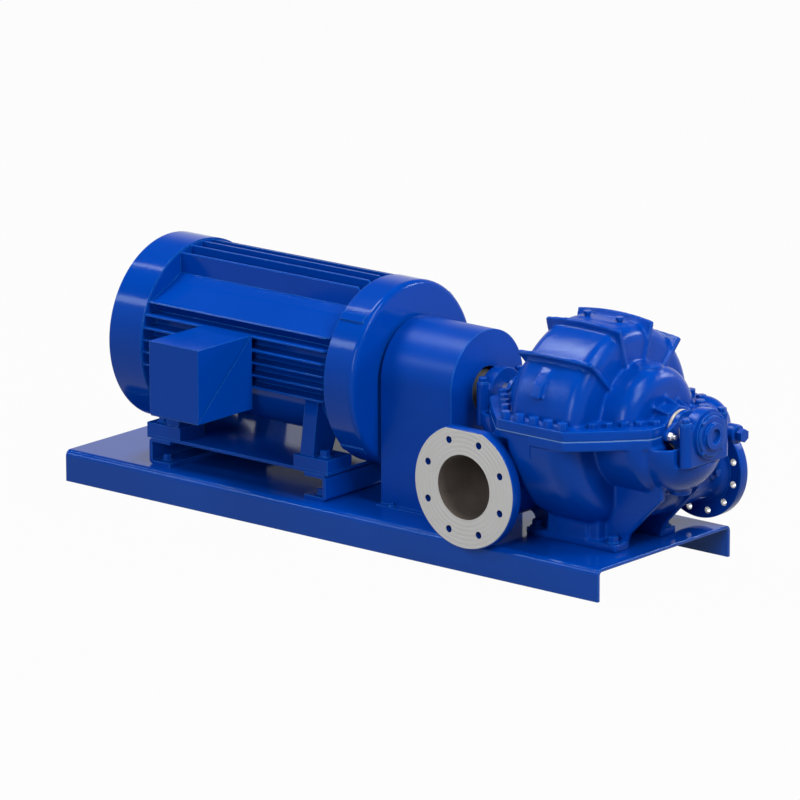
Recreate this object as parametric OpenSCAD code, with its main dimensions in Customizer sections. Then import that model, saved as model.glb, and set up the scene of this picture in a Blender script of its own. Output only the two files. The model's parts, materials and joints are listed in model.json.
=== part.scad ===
// Horizontal split case pump set: pump, motor and guarded coupling on a folded base plate.
// Millimetres, +Z up, X along the shaft from motor to pump, Y across towards the discharge.
// The origin is on the floor, in the middle of the set's footprint.

/* [Base plate] */
// Length of the folded base plate
base_l = 2126; // [1950:1:2300]
// Width of the base plate over its folded sides
base_w = 642; // [580:1:660]
// Height of the base plate above the floor
base_h = 100; // [70:1:130]
// Thickness of the base plate
base_t = 10; // [6:0.5:14]
// Outer radius of the two long folds
base_fold_r = 20; // [16:1:40]

/* [Shaft line] */
// Height of the shaft line above the floor
shaft_h = 473; // [460:1:500]
// Pump centre, forward of the base plate's middle
pump_x = 820; // [800:1:840]
// Motor centre, behind the base plate's middle
motor_back = 396; // [380:1:420]
// Radius of the pump shaft
pump_shaft_r = 30; // [20:1:36]
// Radius of the motor shaft
motor_shaft_r = 43; // [30:1:50]
// Running clearance of each shaft in its bearings
bearing_gap = 0.05; // [0.02:0.01:0.1]

/* [Motor] */
// Shaft height of the motor above its feet
motor_shaft_h = 279; // [260:1:290]
// Length of the finned frame
frame_l = 744; // [700:1:800]
// Radius of the frame's barrel
barrel_r = 230; // [210:1:250]
// Reach of the side fins from the shaft line
side_fin_r = 281; // [265:1:285]
// Reach of the top fins from the shaft line
top_fin_r = 287; // [265:1:288]
// Thickness of every fin
fin_t = 6; // [3:0.5:10]
// Number of fins on each side
side_fins = 6; // [3:1:6]
// Spacing of the side fins
side_fin_pitch = 38.6; // [30:0.1:40]
// Height of the uppermost side fin above the shaft line
side_fin_top = 139; // [120:1:150]
// Number of fins on the top
top_fins = 5; // [3:2:5]
// Spacing of the top fins
top_fin_pitch = 50; // [40:1:52]
// Slope at the drive end of every fin
fin_slope = 22; // [10:1:40]
// Radius of the drive end bracket
bracket_r = 290; // [275:1:300]
// Length of the drive end bracket
bracket_l = 113; // [90:1:130]
// Rounding of the drive end bracket's rim
bracket_rim = 18; // [8:1:30]
// Radius of the fan cover
cover_r = 293; // [289:1:305]
// Length of the fan cover in front of the frame
cover_l = 130; // [110:1:160]
// Sheet thickness of the fan cover
cover_t = 4; // [2:0.5:5]
// Radius of the cooling fan
fan_r = 225; // [180:1:250]
// Number of fan blades
fan_blades = 9; // [5:1:12]

/* [Motor feet and stand] */
// Length of each foot
foot_l = 136; // [110:1:150]
// Width of each foot
foot_w = 115; // [100:1:125]
// Thickness of each foot
foot_t = 38; // [25:1:45]
// Thickness of the stand's top plate
stand_plate_t = 10; // [6:1:14]
// Thickness of the stand's channels
stand_t = 12; // [8:1:16]
// Width of the channel flanges
stand_flange = 85; // [60:1:110]
// Width of the stand across the shaft
stand_w = 540; // [530:1:560]

/* [Terminal box] */
// Width of the terminal box along the shaft
box_w = 190; // [150:1:230]
// Depth of the terminal box
box_d = 253; // [200:1:300]
// Height of the terminal box
box_h = 234; // [200:1:260]
// Terminal box centre below the shaft line
box_drop = 6; // [0:1:20]
// Terminal box centre behind the motor centre
box_back = 19; // [0:1:60]
// Overlap of the box cover on each side
box_lip = 4; // [2:0.5:8]

/* [Coupling guard] */
// Gap between the guard and the pump's inboard bearing cover
guard_clear = 9; // [5:1:20]
// Half width of the guard
guard_r = 171; // [150:1:185]
// Height of the guard's arch centre above the shaft line
guard_rise = 14; // [0:1:30]
// Sheet thickness of the guard
guard_t = 4; // [2:0.5:6]
// Width of the guard's bolting flanges
guard_foot = 24; // [16:1:40]
// Radius of the shaft opening in the guard's end
guard_hole_r = 72; // [60:1:90]
// Gap between the motor bracket and the guard
guard_gap = 14; // [8:1:30]

/* [Coupling] */
// Radius of the coupling hubs
hub_r = 82; // [70:1:110]
// Length of the motor hub
motor_hub_l = 92; // [70:1:100]
// Length of the pump hub
pump_hub_l = 78; // [60:1:84]
// Thickness of the flexible insert between the hubs
insert_l = 26; // [15:1:30]

/* [Pump casing] */
// Radius of the upper volute
hump_r = 281; // [265:1:290]
// Half width of the volute
hump_half = 130; // [115:1:140]
// Shoulder rounding of the upper volute
hump_corner = 40; // [30:1:55]
// Shift of the volute towards the suction side
hump_fwd = 10; // [0:1:15]
// Radius of the lower volute
volute_r = 326; // [300:1:332]
// Shoulder rounding of the lower volute
volute_corner = 75; // [50:1:85]
// Radius of the upper suction chambers
dome_r = 178; // [170:1:190]
// Half length over the upper suction chambers
dome_half = 240; // [230:1:250]
// Rounding of the upper chambers' ends
dome_corner = 54; // [40:1:70]
// Radius of the lower suction chambers
chamber_r = 205; // [190:1:212]
// Half length over the lower suction chambers
chamber_half = 292; // [285:1:300]
// Rounding of the lower chambers' ends
chamber_corner = 50; // [40:1:60]
// Radius of the bearing bowls
bowl_r = 155; // [148:1:160]
// Half length over the bearing bowls
bowl_half = 405; // [395:1:415]
// Rounding of the bearing bowls' ends
bowl_corner = 122; // [110:1:130]
// Axis of the bearing bowls below the shaft line
bowl_drop = 35; // [30:1:42]
// Rim of the bearing bowls below the shaft line
bowl_rim = 30; // [26:1:36]
// Thickness of each parting flange
parting_t = 31; // [24:1:36]
// Reach of the parting flange to the suction side
parting_reach = 342; // [330:1:350]
// Thickness of the radial straps over the volute
strap_t = 14; // [8:1:20]
// Height of the straps above the volute
strap_rise = 31; // [24:1:36]
// Radius of the straps' crowned edge
strap_crown = 900; // [700:10:1200]

/* [Suction nozzle] */
// Bore of the suction nozzle
suction_bore = 200; // [180:1:210]
// Outer diameter of the suction flange
suction_od = 381; // [370:1:390]
// Bolt circle of the suction flange
suction_pcd = 298.5; // [290:0.5:310]
// Bolt holes in the suction flange
suction_holes = 8; // [4:4:12]
// Suction face, in front of the shaft line
suction_reach = 360; // [358:1:390]
// Suction nozzle centre, behind the pump centre
suction_back = 236; // [225:1:245]

/* [Discharge nozzle] */
// Bore of the discharge nozzle
discharge_bore = 152; // [140:1:160]
// Outer diameter of the discharge flange
discharge_od = 318; // [310:1:325]
// Bolt circle of the discharge flange
discharge_pcd = 270; // [262:0.5:275]
// Bolt holes in the discharge flange
discharge_holes = 12; // [8:4:12]
// Discharge face, behind the shaft line
discharge_reach = 309; // [300:1:330]
// Discharge nozzle centre, ahead of the pump centre
discharge_fwd = 158; // [150:1:165]

/* [Nozzles] */
// Depth of both nozzle centres below the shaft line
nozzle_drop = 196; // [185:1:205]
// Thickness of both flanges
flange_t = 35; // [25:1:38]
// Diameter of the flange bolt holes
flange_hole_d = 22.4; // [18:0.1:26]

/* [Pump feet] */
// Length of each pump foot
pump_foot_l = 342; // [320:1:360]
// Width of each pump foot
pump_foot_w = 70; // [60:1:80]
// Thickness of each pump foot
pump_foot_t = 22; // [16:1:30]
// Outer edge of each pump foot from the shaft line
pump_foot_out = 147; // [142:1:155]
// Thickness of the webs over the feet
web_t = 20; // [14:1:26]

/* [Bearings] */
// Thickness of the bearing blocks
block_t = 40; // [36:1:46]
// Half distance between the cap bolts
block_bolt_y = 88; // [84:1:92]
// Radius of the cap bolt bosses
block_boss_r = 18; // [14:1:20]
// Radius of the bearing cap's arch
cap_r = 80; // [76:1:84]
// Depth of the bearing block below the shaft line
block_drop = 85; // [75:1:95]
// Radius of the bearing covers
end_cover_r = 70; // [60:1:76]
// Length of the bearing covers over their hubs
end_cover_l = 25; // [20:1:30]
// Radius of the shaft sleeves
sleeve_r = 41; // [38:1:48]
// Radius of the gland rings
gland_r = 62; // [58:1:66]
// Thickness of the gland plates
gland_t = 14; // [10:1:18]

/* [Hidden] */
$fn = 96;
paint = "royalblue";
steel = "silver";
// Overlap that joins pieces of one casting, and run-out of every cut
eps = 1;
big = 3000;

// Reach of the whole set from the base plate's middle, which places the origin
block_over = 1;
block_in = bowl_half + block_over - block_t;
cover_tip = block_in + block_t + end_cover_l;
box_back_y = -side_fin_r;
origin_x = (pump_x + cover_tip - base_l / 2) / 2;
rear_draw = 12;
parting_rear = parting_reach - rear_draw;
origin_y = (box_back_y - box_d + max(base_w / 2, parting_rear, discharge_reach)) / 2;

// Motor
motor_x = -motor_back;
stand_top = shaft_h - motor_shaft_h;
frame_half = frame_l / 2;
bracket_end = motor_x + frame_half + bracket_l;
fan_disc_t = 8;
fan_gap = 12;
fan_w = cover_l - cover_t - 4 * fan_gap;
end_disc_t = 22;
fan_x = -frame_half - end_disc_t - fan_gap;
cover_seat = 0.3;
end_disc_r = cover_r - cover_t - cover_seat;
pocket_wall = top_fin_pitch * (top_fins - 1) / 2 + fin_t / 2;
pocket_top = sqrt(barrel_r * barrel_r - pocket_wall * pocket_wall) - fin_t;
pocket_tip_y = sqrt(side_fin_r * side_fin_r - side_fin_top * side_fin_top);
grille_rings = 6;
grille_slot = 16;
grille_pitch = 30;
grille_spoke = 14;
ridge_w = 26;
ridge_h = 5;
ridge_inset = 3;
ridge_angles = [45, 135, 225, 315];
leg_inner = barrel_r / 2;
leg_outer = barrel_r / 4;
box_boss = [130, 130];

// Stand
stand_clear = 4;
stand_half = frame_half - stand_clear;
channel_h = stand_top - base_h - stand_plate_t;
channel_inset = 8;
fold_r = stand_t + 3;
foot_outer = stand_half;
leg_l = 104;
leg_side = 12;

// Guard and coupling
guard_x = bracket_end + guard_gap;
guard_z = shaft_h + guard_rise;
guard_end = pump_x - cover_tip - guard_clear;
guard_l = guard_end - guard_x;
hub_gap = 12;
pump_hub_x = guard_end - guard_t - hub_gap - pump_hub_l;
insert_x = pump_hub_x - insert_l;
motor_hub_x = insert_x - motor_hub_l;
shaft_tip = 4;
hub_neck = 0.72;
insert_slots = 6;

// Pump
box_r = 70;
box_end = chamber_half + 4;
gland_x = box_end + 14;
gland_ear_r = 16;
gland_hole_r = 9;
gland_stud_y = 86;
sleeve_gap = 0.5;
sleeve_in = box_end - 60;
sleeve_clear = 30;
sleeve_out = block_in - sleeve_clear;
parting_front = 127;
parting_mid = [214, 256];
parting_end = [308, 152];
parting_corner = 26;
rear_front = 40;
rear_mid = [225, 235];
parting_half = [
  [parting_front, -parting_reach], [parting_mid[0], -parting_mid[1]], [parting_end[0], -parting_end[1]],
  parting_end, rear_mid, [rear_front, parting_rear]
];
lobe_x = 212;
lobe_y = 160;
lobe_z = -50;
lobe_r = 110;
lobe_half = 85;
lobe_corner = 78;
strap_angles = [-45, -15, 15, 45];
strap_over = 10;
strap_foot = 90;
vent_x = 61;
vent_y = 8;
vent_r = 26;
vent_rise = 9;
vent_top = hump_r + vent_rise;
pad_x = 176;
pad_r = 44;
pad_rise = 3;
lug_x = -20;
lug_w = 36;
lug_stand = 25;
lug_root = 37;
lug_angles = [45, 36, 27, 19];
lug_eye_r = 9;
gusset_t = 10;
gusset_angles = [-40, 0, 40];
gusset_rise = 26;
gusset_tip = 4;
suction_neck_r = suction_bore / 2 + 27;
suction_flat = 177;
discharge_neck_r = discharge_bore / 2 + 21;
suction_inner_y = 20;
discharge_inner_y = 20;
web_inset = 50;
web_half = 304;
web_low_half = 181;
web_top = 149;
web_mid = 201;
web_low = 327;
pier_half = 60;
pier_side = 97;
pier_step = 12;
pier_h = 120;
trough_wall = 14;
trough_w = 84;
trough_l = block_in - box_end - trough_wall;
trough_lip = 6;
seat_w = bowl_r * 0.8;
gauge_r = 30;
gauge_drop = 3;
gauge_z = -gauge_r - gauge_drop;
gauge_l = 71;
gauge_seat = lobe_x + lobe_r + gauge_l;
spot_clear = 3;
spot_deep = 22;
neck_plug_y = 210;
neck_plug_z = 15;
neck_boss_r = 24;
neck_boss_l = 14;
drain_x = 300;
drain_r = 34;
drain_drop = 6;
plug_af = 36;
plug_h = 20;
vent_af = 22;
vent_h = 10;
plug_stem_share = 0.8;
plug_stem = 4;

// Bearings
boss_rise = 46;
cap_shoulder = 31;
cover_step = end_cover_l * 0.36;
cover_ring_l = end_cover_l * 0.58;
cover_ring_r = end_cover_r * 0.86;
cover_hub_r = end_cover_r * 0.57;
cover_recess_r = end_cover_r * 0.33;

// Moves a piece from the base plate's middle to the set's own frame
module place() translate([-origin_x, -origin_y, 0]) children();

// Pump pieces are drawn round the pump centre, on the shaft line
module on_pump() place() translate([pump_x, 0, shaft_h]) children();

// Motor pieces are drawn round the motor centre, on the shaft line
module on_motor() place() translate([motor_x, 0, shaft_h]) children();

// Runs an outline drawn in Y and Z along X
module along_x(l) rotate([90, 0, 90]) linear_extrude(height = l) children();

// Runs an outline drawn in X and Z across Y, from y0 to y1
module across_y(y0, y1) translate([0, y1, 0]) rotate([90, 0, 0]) linear_extrude(height = y1 - y0) children();

// Turns a profile of radius and X round the shaft line
module turned_x() rotate([0, 90, 0]) rotate_extrude() children();

// Round bar along X from x0 to x1
module bar_x(r, x0, x1) translate([x0, 0, 0]) rotate([0, 90, 0]) cylinder(h = x1 - x0, r = r);

// Round bar along Y from y0 to y1
module bar_y(r, y0, y1) translate([0, y0, 0]) rotate([-90, 0, 0]) cylinder(h = y1 - y0, r = r);

// Round bar of length l along +Z whose lower end is a half ball
module bullet(r, l) rotate_extrude() {
  square([r, l]);
  intersection() {
    circle(r = r);
    translate([0, -r]) square(r);
  }
}

// The same along Y from y0 to y1, with the half ball at y0
module bullet_y(r, y0, y1) translate([0, y0, 0]) rotate([-90, 0, 0]) bullet(r, y1 - y0);

// Both mirror images of a piece about the pump's middle plane
module both_ends() {
  children();
  mirror([1, 0, 0]) children();
}

// Both mirror images of a piece about the shaft plane
module both_sides() {
  children();
  mirror([0, 1, 0]) children();
}

// Profile of a drum with rounded shoulders, for turning
module drum_profile(r, half, corner) {
  translate([0, -half]) square([r - corner, 2 * half]);
  translate([0, corner - half]) square([r, 2 * (half - corner)]);
  for (s = [0, 1]) mirror([0, s]) translate([r - corner, half - corner]) intersection() {
    circle(r = corner);
    square(corner);
  }
}

// Everything above or below the parting plane
module upper_half() intersection() {
  union() children();
  translate([-big / 2, -big / 2, 0]) cube(big);
}
module lower_half() intersection() {
  union() children();
  translate([-big / 2, -big / 2, -big]) cube(big);
}

// Outline of a sheet folded along both edges, open below
module folded_outline(w, h, r) {
  translate([-w / 2, 0]) square([w, h - r]);
  translate([r - w / 2, 0]) square([w - 2 * r, h]);
  for (s = [-1, 1]) translate([s * (w / 2 - r), h - r]) circle(r = r);
}

module base_plate() color(paint) place() translate([-base_l / 2, 0, 0]) along_x(base_l) difference() {
  folded_outline(base_w, base_h, base_fold_r);
  translate([0, -eps]) folded_outline(base_w - 2 * base_t, base_h - base_t + eps, base_fold_r - base_t);
}

module motor_stand_plate() color(paint) place()
  translate([motor_x - stand_half, -stand_w / 2, stand_top - stand_plate_t])
  cube([2 * stand_half, stand_w, stand_plate_t]);

// Channel with its web on the right and its flanges turned to the left
module channel_outline() difference() {
  union() {
    translate([-stand_flange, 0]) square([stand_flange - fold_r, channel_h]);
    translate([-stand_flange, fold_r]) square([stand_flange, channel_h - 2 * fold_r]);
    for (z = [fold_r, channel_h - fold_r]) translate([-fold_r, z]) circle(r = fold_r);
  }
  translate([-stand_flange - eps, stand_t]) square([stand_flange - stand_t + eps, channel_h - 2 * stand_t]);
}
module stand_channel() translate([stand_half - channel_inset, 0, base_h])
  across_y(-stand_w / 2, stand_w / 2) channel_outline();
module stand_channel_front() color(paint) place() translate([motor_x, 0, 0]) stand_channel();
module stand_channel_rear() color(paint) place() translate([motor_x, 0, 0]) mirror([1, 0, 0]) stand_channel();

// Section of the motor frame with its fins and the sloped pockets between top and side fins
module frame_section() {
  circle(r = barrel_r);
  both_pockets();
  for (i = [0 : top_fins - 1]) translate([(i - (top_fins - 1) / 2) * top_fin_pitch - fin_t / 2, 0])
    square([fin_t, top_fin_r]);
  for (i = [0 : side_fins - 1]) translate([-side_fin_r, side_fin_top - i * side_fin_pitch - fin_t / 2])
    square([2 * side_fin_r, fin_t]);
}
module both_pockets() for (s = [0, 1]) mirror([s, 0])
  polygon([[0, 0], [0, pocket_top], [pocket_wall, pocket_top], [pocket_tip_y, side_fin_top], [leg_inner, 0]]);

// Envelope that ends the fins on a circle and slopes them at the drive end
module fin_envelope() turned_x() polygon([
  [0, -frame_half], [top_fin_r, -frame_half], [top_fin_r, frame_half - fin_slope],
  [top_fin_r - fin_slope, frame_half], [0, frame_half]
]);

// One foot with its leg, on the drive end side facing -Y
module motor_leg() {
  translate([foot_outer - foot_l, -stand_w / 2, -motor_shaft_h]) cube([foot_l, foot_w, foot_t]);
  translate([foot_outer - foot_l / 2 - leg_l / 2, 0, 0]) along_x(leg_l) polygon([
    [leg_side - stand_w / 2, foot_t - motor_shaft_h - eps],
    [foot_w - leg_side - stand_w / 2, foot_t - motor_shaft_h - eps],
    [-leg_inner, -leg_inner],
    [eps - barrel_r, -leg_outer]
  ]);
}
module motor_frame() color(paint) on_motor() difference() {
  union() {
    intersection() {
      translate([-frame_half, 0, 0]) along_x(frame_l) frame_section();
      fin_envelope();
    }
    bar_x(end_disc_r, -frame_half - end_disc_t, eps - frame_half);
    both_sides() both_ends() motor_leg();
    translate([-box_back - box_boss[0] / 2, box_back_y, -box_drop - box_boss[1] / 2])
      cube([box_boss[0], side_fin_r, box_boss[1]]);
  }
  bar_x(motor_shaft_r + bearing_gap, -frame_l, frame_l);
}

// Profile of the drive end bracket, rounded at its front rim
module bracket_profile() {
  square([bracket_r - bracket_rim, bracket_l]);
  square([bracket_r, bracket_l - bracket_rim]);
  translate([bracket_r - bracket_rim, bracket_l - bracket_rim]) circle(r = bracket_rim);
}
module drive_end_bracket() color(paint) on_motor() translate([frame_half, 0, 0]) difference() {
  union() {
    turned_x() bracket_profile();
    for (a = ridge_angles) rotate([a, 0, 0]) translate([ridge_inset, -ridge_w / 2, bracket_r - ridge_w])
      cube([bracket_l - bracket_rim - 2 * ridge_inset, ridge_w, ridge_w + ridge_h]);
  }
  bar_x(motor_shaft_r + bearing_gap, -eps, bracket_l + eps);
}

// Sheet cover over the cooling fan, slotted for air
module fan_cover() color(paint) on_motor() translate([-frame_half - cover_l, 0, 0]) difference() {
  bar_x(cover_r, 0, cover_l);
  bar_x(cover_r - cover_t, cover_t, cover_l + eps);
  difference() {
    for (i = [1 : grille_rings]) difference() {
      bar_x(i * grille_pitch + grille_slot, -eps, cover_t + eps);
      bar_x(i * grille_pitch, -2 * eps, cover_t + 2 * eps);
    }
    for (a = [0 : 45 : 135]) rotate([a, 0, 0])
      translate([-2 * eps, -big / 2, -grille_spoke / 2]) cube([cover_t + 4 * eps, big, grille_spoke]);
  }
}

module cooling_fan() color("dimgray") on_motor() translate([fan_x, 0, 0]) difference() {
  union() {
    bar_x(fan_r, -fan_disc_t, 0);
    bar_x(motor_shaft_r + 3 * fin_t, -fan_w, 0);
    for (i = [0 : fan_blades - 1]) rotate([i * 360 / fan_blades, 0, 0])
      translate([fin_t - fan_w, -fin_t / 2, motor_shaft_r + fin_t])
      cube([fan_w - fin_t - fan_disc_t / 2, fin_t, fan_r - motor_shaft_r - 2 * fin_t]);
  }
  bar_x(motor_shaft_r, -fan_w - eps, eps);
}

module motor_shaft() color(steel) place() translate([0, 0, shaft_h])
  bar_x(motor_shaft_r, motor_x + fan_x - fan_w, motor_hub_x + motor_hub_l - shaft_tip);

// Outline of the terminal box in Y and Z, from its back
module box_place() on_motor() translate([-box_back, box_back_y, -box_drop]) children();
module terminal_box() color(paint) box_place() translate([-box_w / 2, 0, 0]) along_x(box_w)
  polygon([[0, -box_h / 2], [0, box_h / 2], [-box_d, -box_h / 2]]);
module terminal_box_cover() color(paint) box_place() {
  translate([-box_w / 2, 0, 0]) along_x(box_w)
    polygon([[0, box_h / 2], [-box_d, box_h / 2], [-box_d, -box_h / 2]]);
  for (s = [-1, 1]) translate([s * (box_w / 2 + box_lip / 2) - box_lip / 2, 0, 0]) along_x(box_lip)
    polygon([[-3 * box_lip, box_h / 2], [-box_d, box_h / 2], [-box_d, 3 * box_lip - box_h / 2]]);
}

// Arch of the coupling guard, standing on the base plate
module guard_outline(r) {
  translate([-r, base_h]) square([2 * r, guard_z - base_h]);
  translate([0, guard_z]) circle(r = r);
}
module coupling_guard() color(paint) place() translate([guard_x, 0, 0]) {
  along_x(guard_l - guard_t) difference() {
    guard_outline(guard_r);
    guard_outline(guard_r - guard_t);
    translate([-big / 2, base_h - eps]) square([big, eps]);
  }
  both_sides() translate([0, guard_r - eps, base_h]) cube([guard_l - guard_t, guard_foot + eps, guard_t]);
}
module guard_end_plate() color(paint) place() translate([guard_end - guard_t, 0, 0]) difference() {
  along_x(guard_t) guard_outline(guard_r);
  translate([0, 0, shaft_h]) bar_x(guard_hole_r, -eps, guard_t + eps);
}

// Coupling hub with a thinner neck away from the insert
module hub(l, bore) difference() {
  union() {
    bar_x(hub_r, 0, l / 2);
    bar_x(hub_r * hub_neck, l / 2 - eps, l);
  }
  bar_x(bore, -eps, l + eps);
}
module motor_hub() color("dimgray") place() translate([motor_hub_x + motor_hub_l, 0, shaft_h])
  mirror([1, 0, 0]) hub(motor_hub_l, motor_shaft_r);
module pump_hub() color("dimgray") place() translate([pump_hub_x, 0, shaft_h]) hub(pump_hub_l, pump_shaft_r);
module coupling_insert() color("orange") place() translate([insert_x, 0, shaft_h]) difference() {
  bar_x(hub_r, 0, insert_l);
  bar_x(hub_r / 2, -eps, insert_l + eps);
  for (i = [0 : insert_slots - 1]) rotate([i * 360 / insert_slots, 0, 0])
    translate([0, 0, hub_r]) bar_x(insert_l / 2, -eps, insert_l + eps);
}

module pump_shaft() color(steel) place() translate([0, 0, shaft_h])
  bar_x(pump_shaft_r, pump_hub_x + shaft_tip, pump_x + block_in + block_t);
module sleeve() difference() {
  bar_x(sleeve_r, sleeve_in, sleeve_out);
  bar_x(pump_shaft_r, sleeve_in - eps, sleeve_out + eps);
}
module outboard_sleeve() color(steel) on_pump() sleeve();
module inboard_sleeve() color(steel) on_pump() mirror([1, 0, 0]) sleeve();

// Tangent points and arc of one rounded corner of an outline
function unit(v) = v / norm(v);
function corner_trim(a, b, c, r) =
  let (u = unit(a - b), v = unit(c - b), half = acos(u * v) / 2) r / tan(half);
function corner_start(a, b, c, r) = b + unit(a - b) * corner_trim(a, b, c, r);
function corner_stop(a, b, c, r) = b + unit(c - b) * corner_trim(a, b, c, r);
function corner_middle(a, b, c, r) =
  let (u = unit(a - b), v = unit(c - b)) b + unit(u + v) * norm([r, corner_trim(a, b, c, r)]);

// Convex outline with every corner rounded to one radius
module rounded_outline(p, r) {
  n = len(p);
  polygon([for (i = [0 : n - 1]) each [
    corner_start(p[(i + n - 1) % n], p[i], p[(i + 1) % n], r),
    corner_stop(p[(i + n - 1) % n], p[i], p[(i + 1) % n], r)
  ]]);
  for (i = [0 : n - 1]) translate(corner_middle(p[(i + n - 1) % n], p[i], p[(i + 1) % n], r)) circle(r = r);
}

// Plan of the parting flange: straight at the volute, drawn in at the stuffing boxes
module parting_outline() rounded_outline([
  for (p = parting_half) p,
  for (i = [len(parting_half) - 1 : -1 : 0]) [-parting_half[i][0], parting_half[i][1]]
], parting_corner);

// The volute lies a little towards the suction side
module on_volute() translate([0, -hump_fwd, 0]) children();

// Rounded elbow that leads to the discharge, shared by both halves of the casing
module lobe() translate([lobe_x, lobe_y, lobe_z]) rotate_extrude()
  drum_profile(lobe_r, lobe_half, lobe_corner);

// Strap with a crowned edge that runs over the volute and down both of its sides
module strap() across_y(-strap_t / 2, strap_t / 2) intersection() {
  translate([-hump_half - strap_over, strap_foot])
    square([2 * (hump_half + strap_over), hump_r + strap_rise - strap_foot]);
  translate([0, hump_r + strap_rise - strap_crown]) circle(r = strap_crown);
}

// Hooked lifting lug on the volute's front, drawn from its root down to its tip
function lug_point(i, r) = [-r * cos(lug_angles[i]), r * sin(lug_angles[i])];
module lifting_lug() translate([lug_x - lug_w / 2, 0, 0]) along_x(lug_w) difference() {
  polygon([
    lug_point(0, hump_r - lug_root), lug_point(0, hump_r), lug_point(1, hump_r + lug_stand / 2),
    lug_point(2, hump_r + lug_stand), lug_point(3, hump_r + lug_stand), lug_point(3, hump_r - lug_root)
  ]);
  translate(lug_point(3, hump_r + lug_eye_r)) circle(r = lug_eye_r);
}

// Long boss on the crown that carries both vents
module vent_boss() translate([0, vent_y, 0]) {
  both_ends() translate([vent_x, 0, 0]) cylinder(h = vent_top, r = vent_r);
  translate([-vent_x, -vent_r, hump_r / 2]) cube([2 * vent_x, 2 * vent_r, vent_top - hump_r / 2]);
}

// Small gusset between the chamber's end and the stuffing box
module gusset() across_y(-gusset_t / 2, gusset_t / 2) polygon([
  [dome_half - dome_corner, 0], [box_end, 0], [box_end, box_r + gusset_tip],
  [dome_half, box_r + gusset_rise], [dome_half - dome_corner, box_r + gusset_rise]
]);

module shaft_bore() bar_x(sleeve_r + sleeve_gap, -big / 2, big / 2);

module upper_casing() color(paint) on_pump() difference() {
  union() {
    upper_half() {
      on_volute() turned_x() drum_profile(hump_r, hump_half, hump_corner);
      turned_x() drum_profile(dome_r, dome_half, dome_corner);
      bar_x(box_r, -box_end, box_end);
      lobe();
    }
    linear_extrude(height = parting_t) parting_outline();
    on_volute() {
      for (a = strap_angles) rotate([a, 0, 0]) strap();
      both_sides() lifting_lug();
    }
    vent_boss();
    both_ends() {
      translate([pad_x, 0, 0]) cylinder(h = dome_r + pad_rise, r = pad_r);
      for (a = gusset_angles) rotate([a, 0, 0]) gusset();
    }
  }
  shaft_bore();
  both_ends() translate([box_end, -trough_w, -eps]) cube([big, 2 * trough_w, big]);
}

// Flange of a nozzle with its bolt holes astride the centre lines, facing +Y at y = 0
module nozzle_flange(od, pcd, holes) difference() {
  bar_y(od / 2, -flange_t, 0);
  for (i = [0 : holes - 1]) rotate([0, (i + 0.5) * 360 / holes, 0])
    translate([pcd / 2, 0, 0]) bar_y(flange_hole_d / 2, -flange_t - eps, eps);
}
module suction_place() translate([-suction_back, 0, -nozzle_drop]) mirror([0, 1, 0]) children();
module discharge_place() translate([discharge_fwd, 0, -nozzle_drop]) children();

// Web over a foot, on the side facing -Y
module foot_web() {
  low = pump_foot_t + base_h - shaft_h;
  across_y(web_inset - pump_foot_out, web_inset + web_t - pump_foot_out) polygon([
    [-pump_foot_l / 2, low - eps], [pump_foot_l / 2, low - eps],
    [web_low_half, -web_low], [web_half, -web_mid], [web_half, -web_top],
    [-web_half, -web_top], [-web_half, -web_mid], [-web_low_half, -web_low]
  ]);
  translate([-pump_foot_l / 2, -pump_foot_out, base_h - shaft_h])
    cube([pump_foot_l, pump_foot_w, pump_foot_t]);
  translate([-pier_half, eps - pump_foot_out, low - eps]) cube([2 * pier_half, web_inset, pier_h]);
  translate([-pier_side, pier_step - pump_foot_out, low - eps])
    cube([2 * pier_side, web_inset + eps - pier_step, pier_h]);
}

// Rounded drum of the bearing bowls, drawn in by a wall
module bowl_drum(wall) translate([0, 0, -bowl_drop]) turned_x()
  drum_profile(bowl_r - wall, bowl_half - wall, bowl_corner - wall);

// Bowls that carry the bearings at both ends, below their rims
module bearing_bowls() intersection() {
  bowl_drum(0);
  translate([-big / 2, -big / 2, -bowl_rim - big]) cube(big);
}

// Drip trough in a bowl, narrow under the parting flange and wide beyond it
module trough() intersection() {
  bowl_drum(trough_wall);
  union() {
    translate([box_end, -trough_w, -big / 2]) cube([trough_l, 2 * trough_w, big]);
    translate([parting_end[0] + trough_lip, -big / 2, -big / 2])
      cube([trough_l + box_end - parting_end[0] - trough_lip, big, big]);
  }
}

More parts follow.
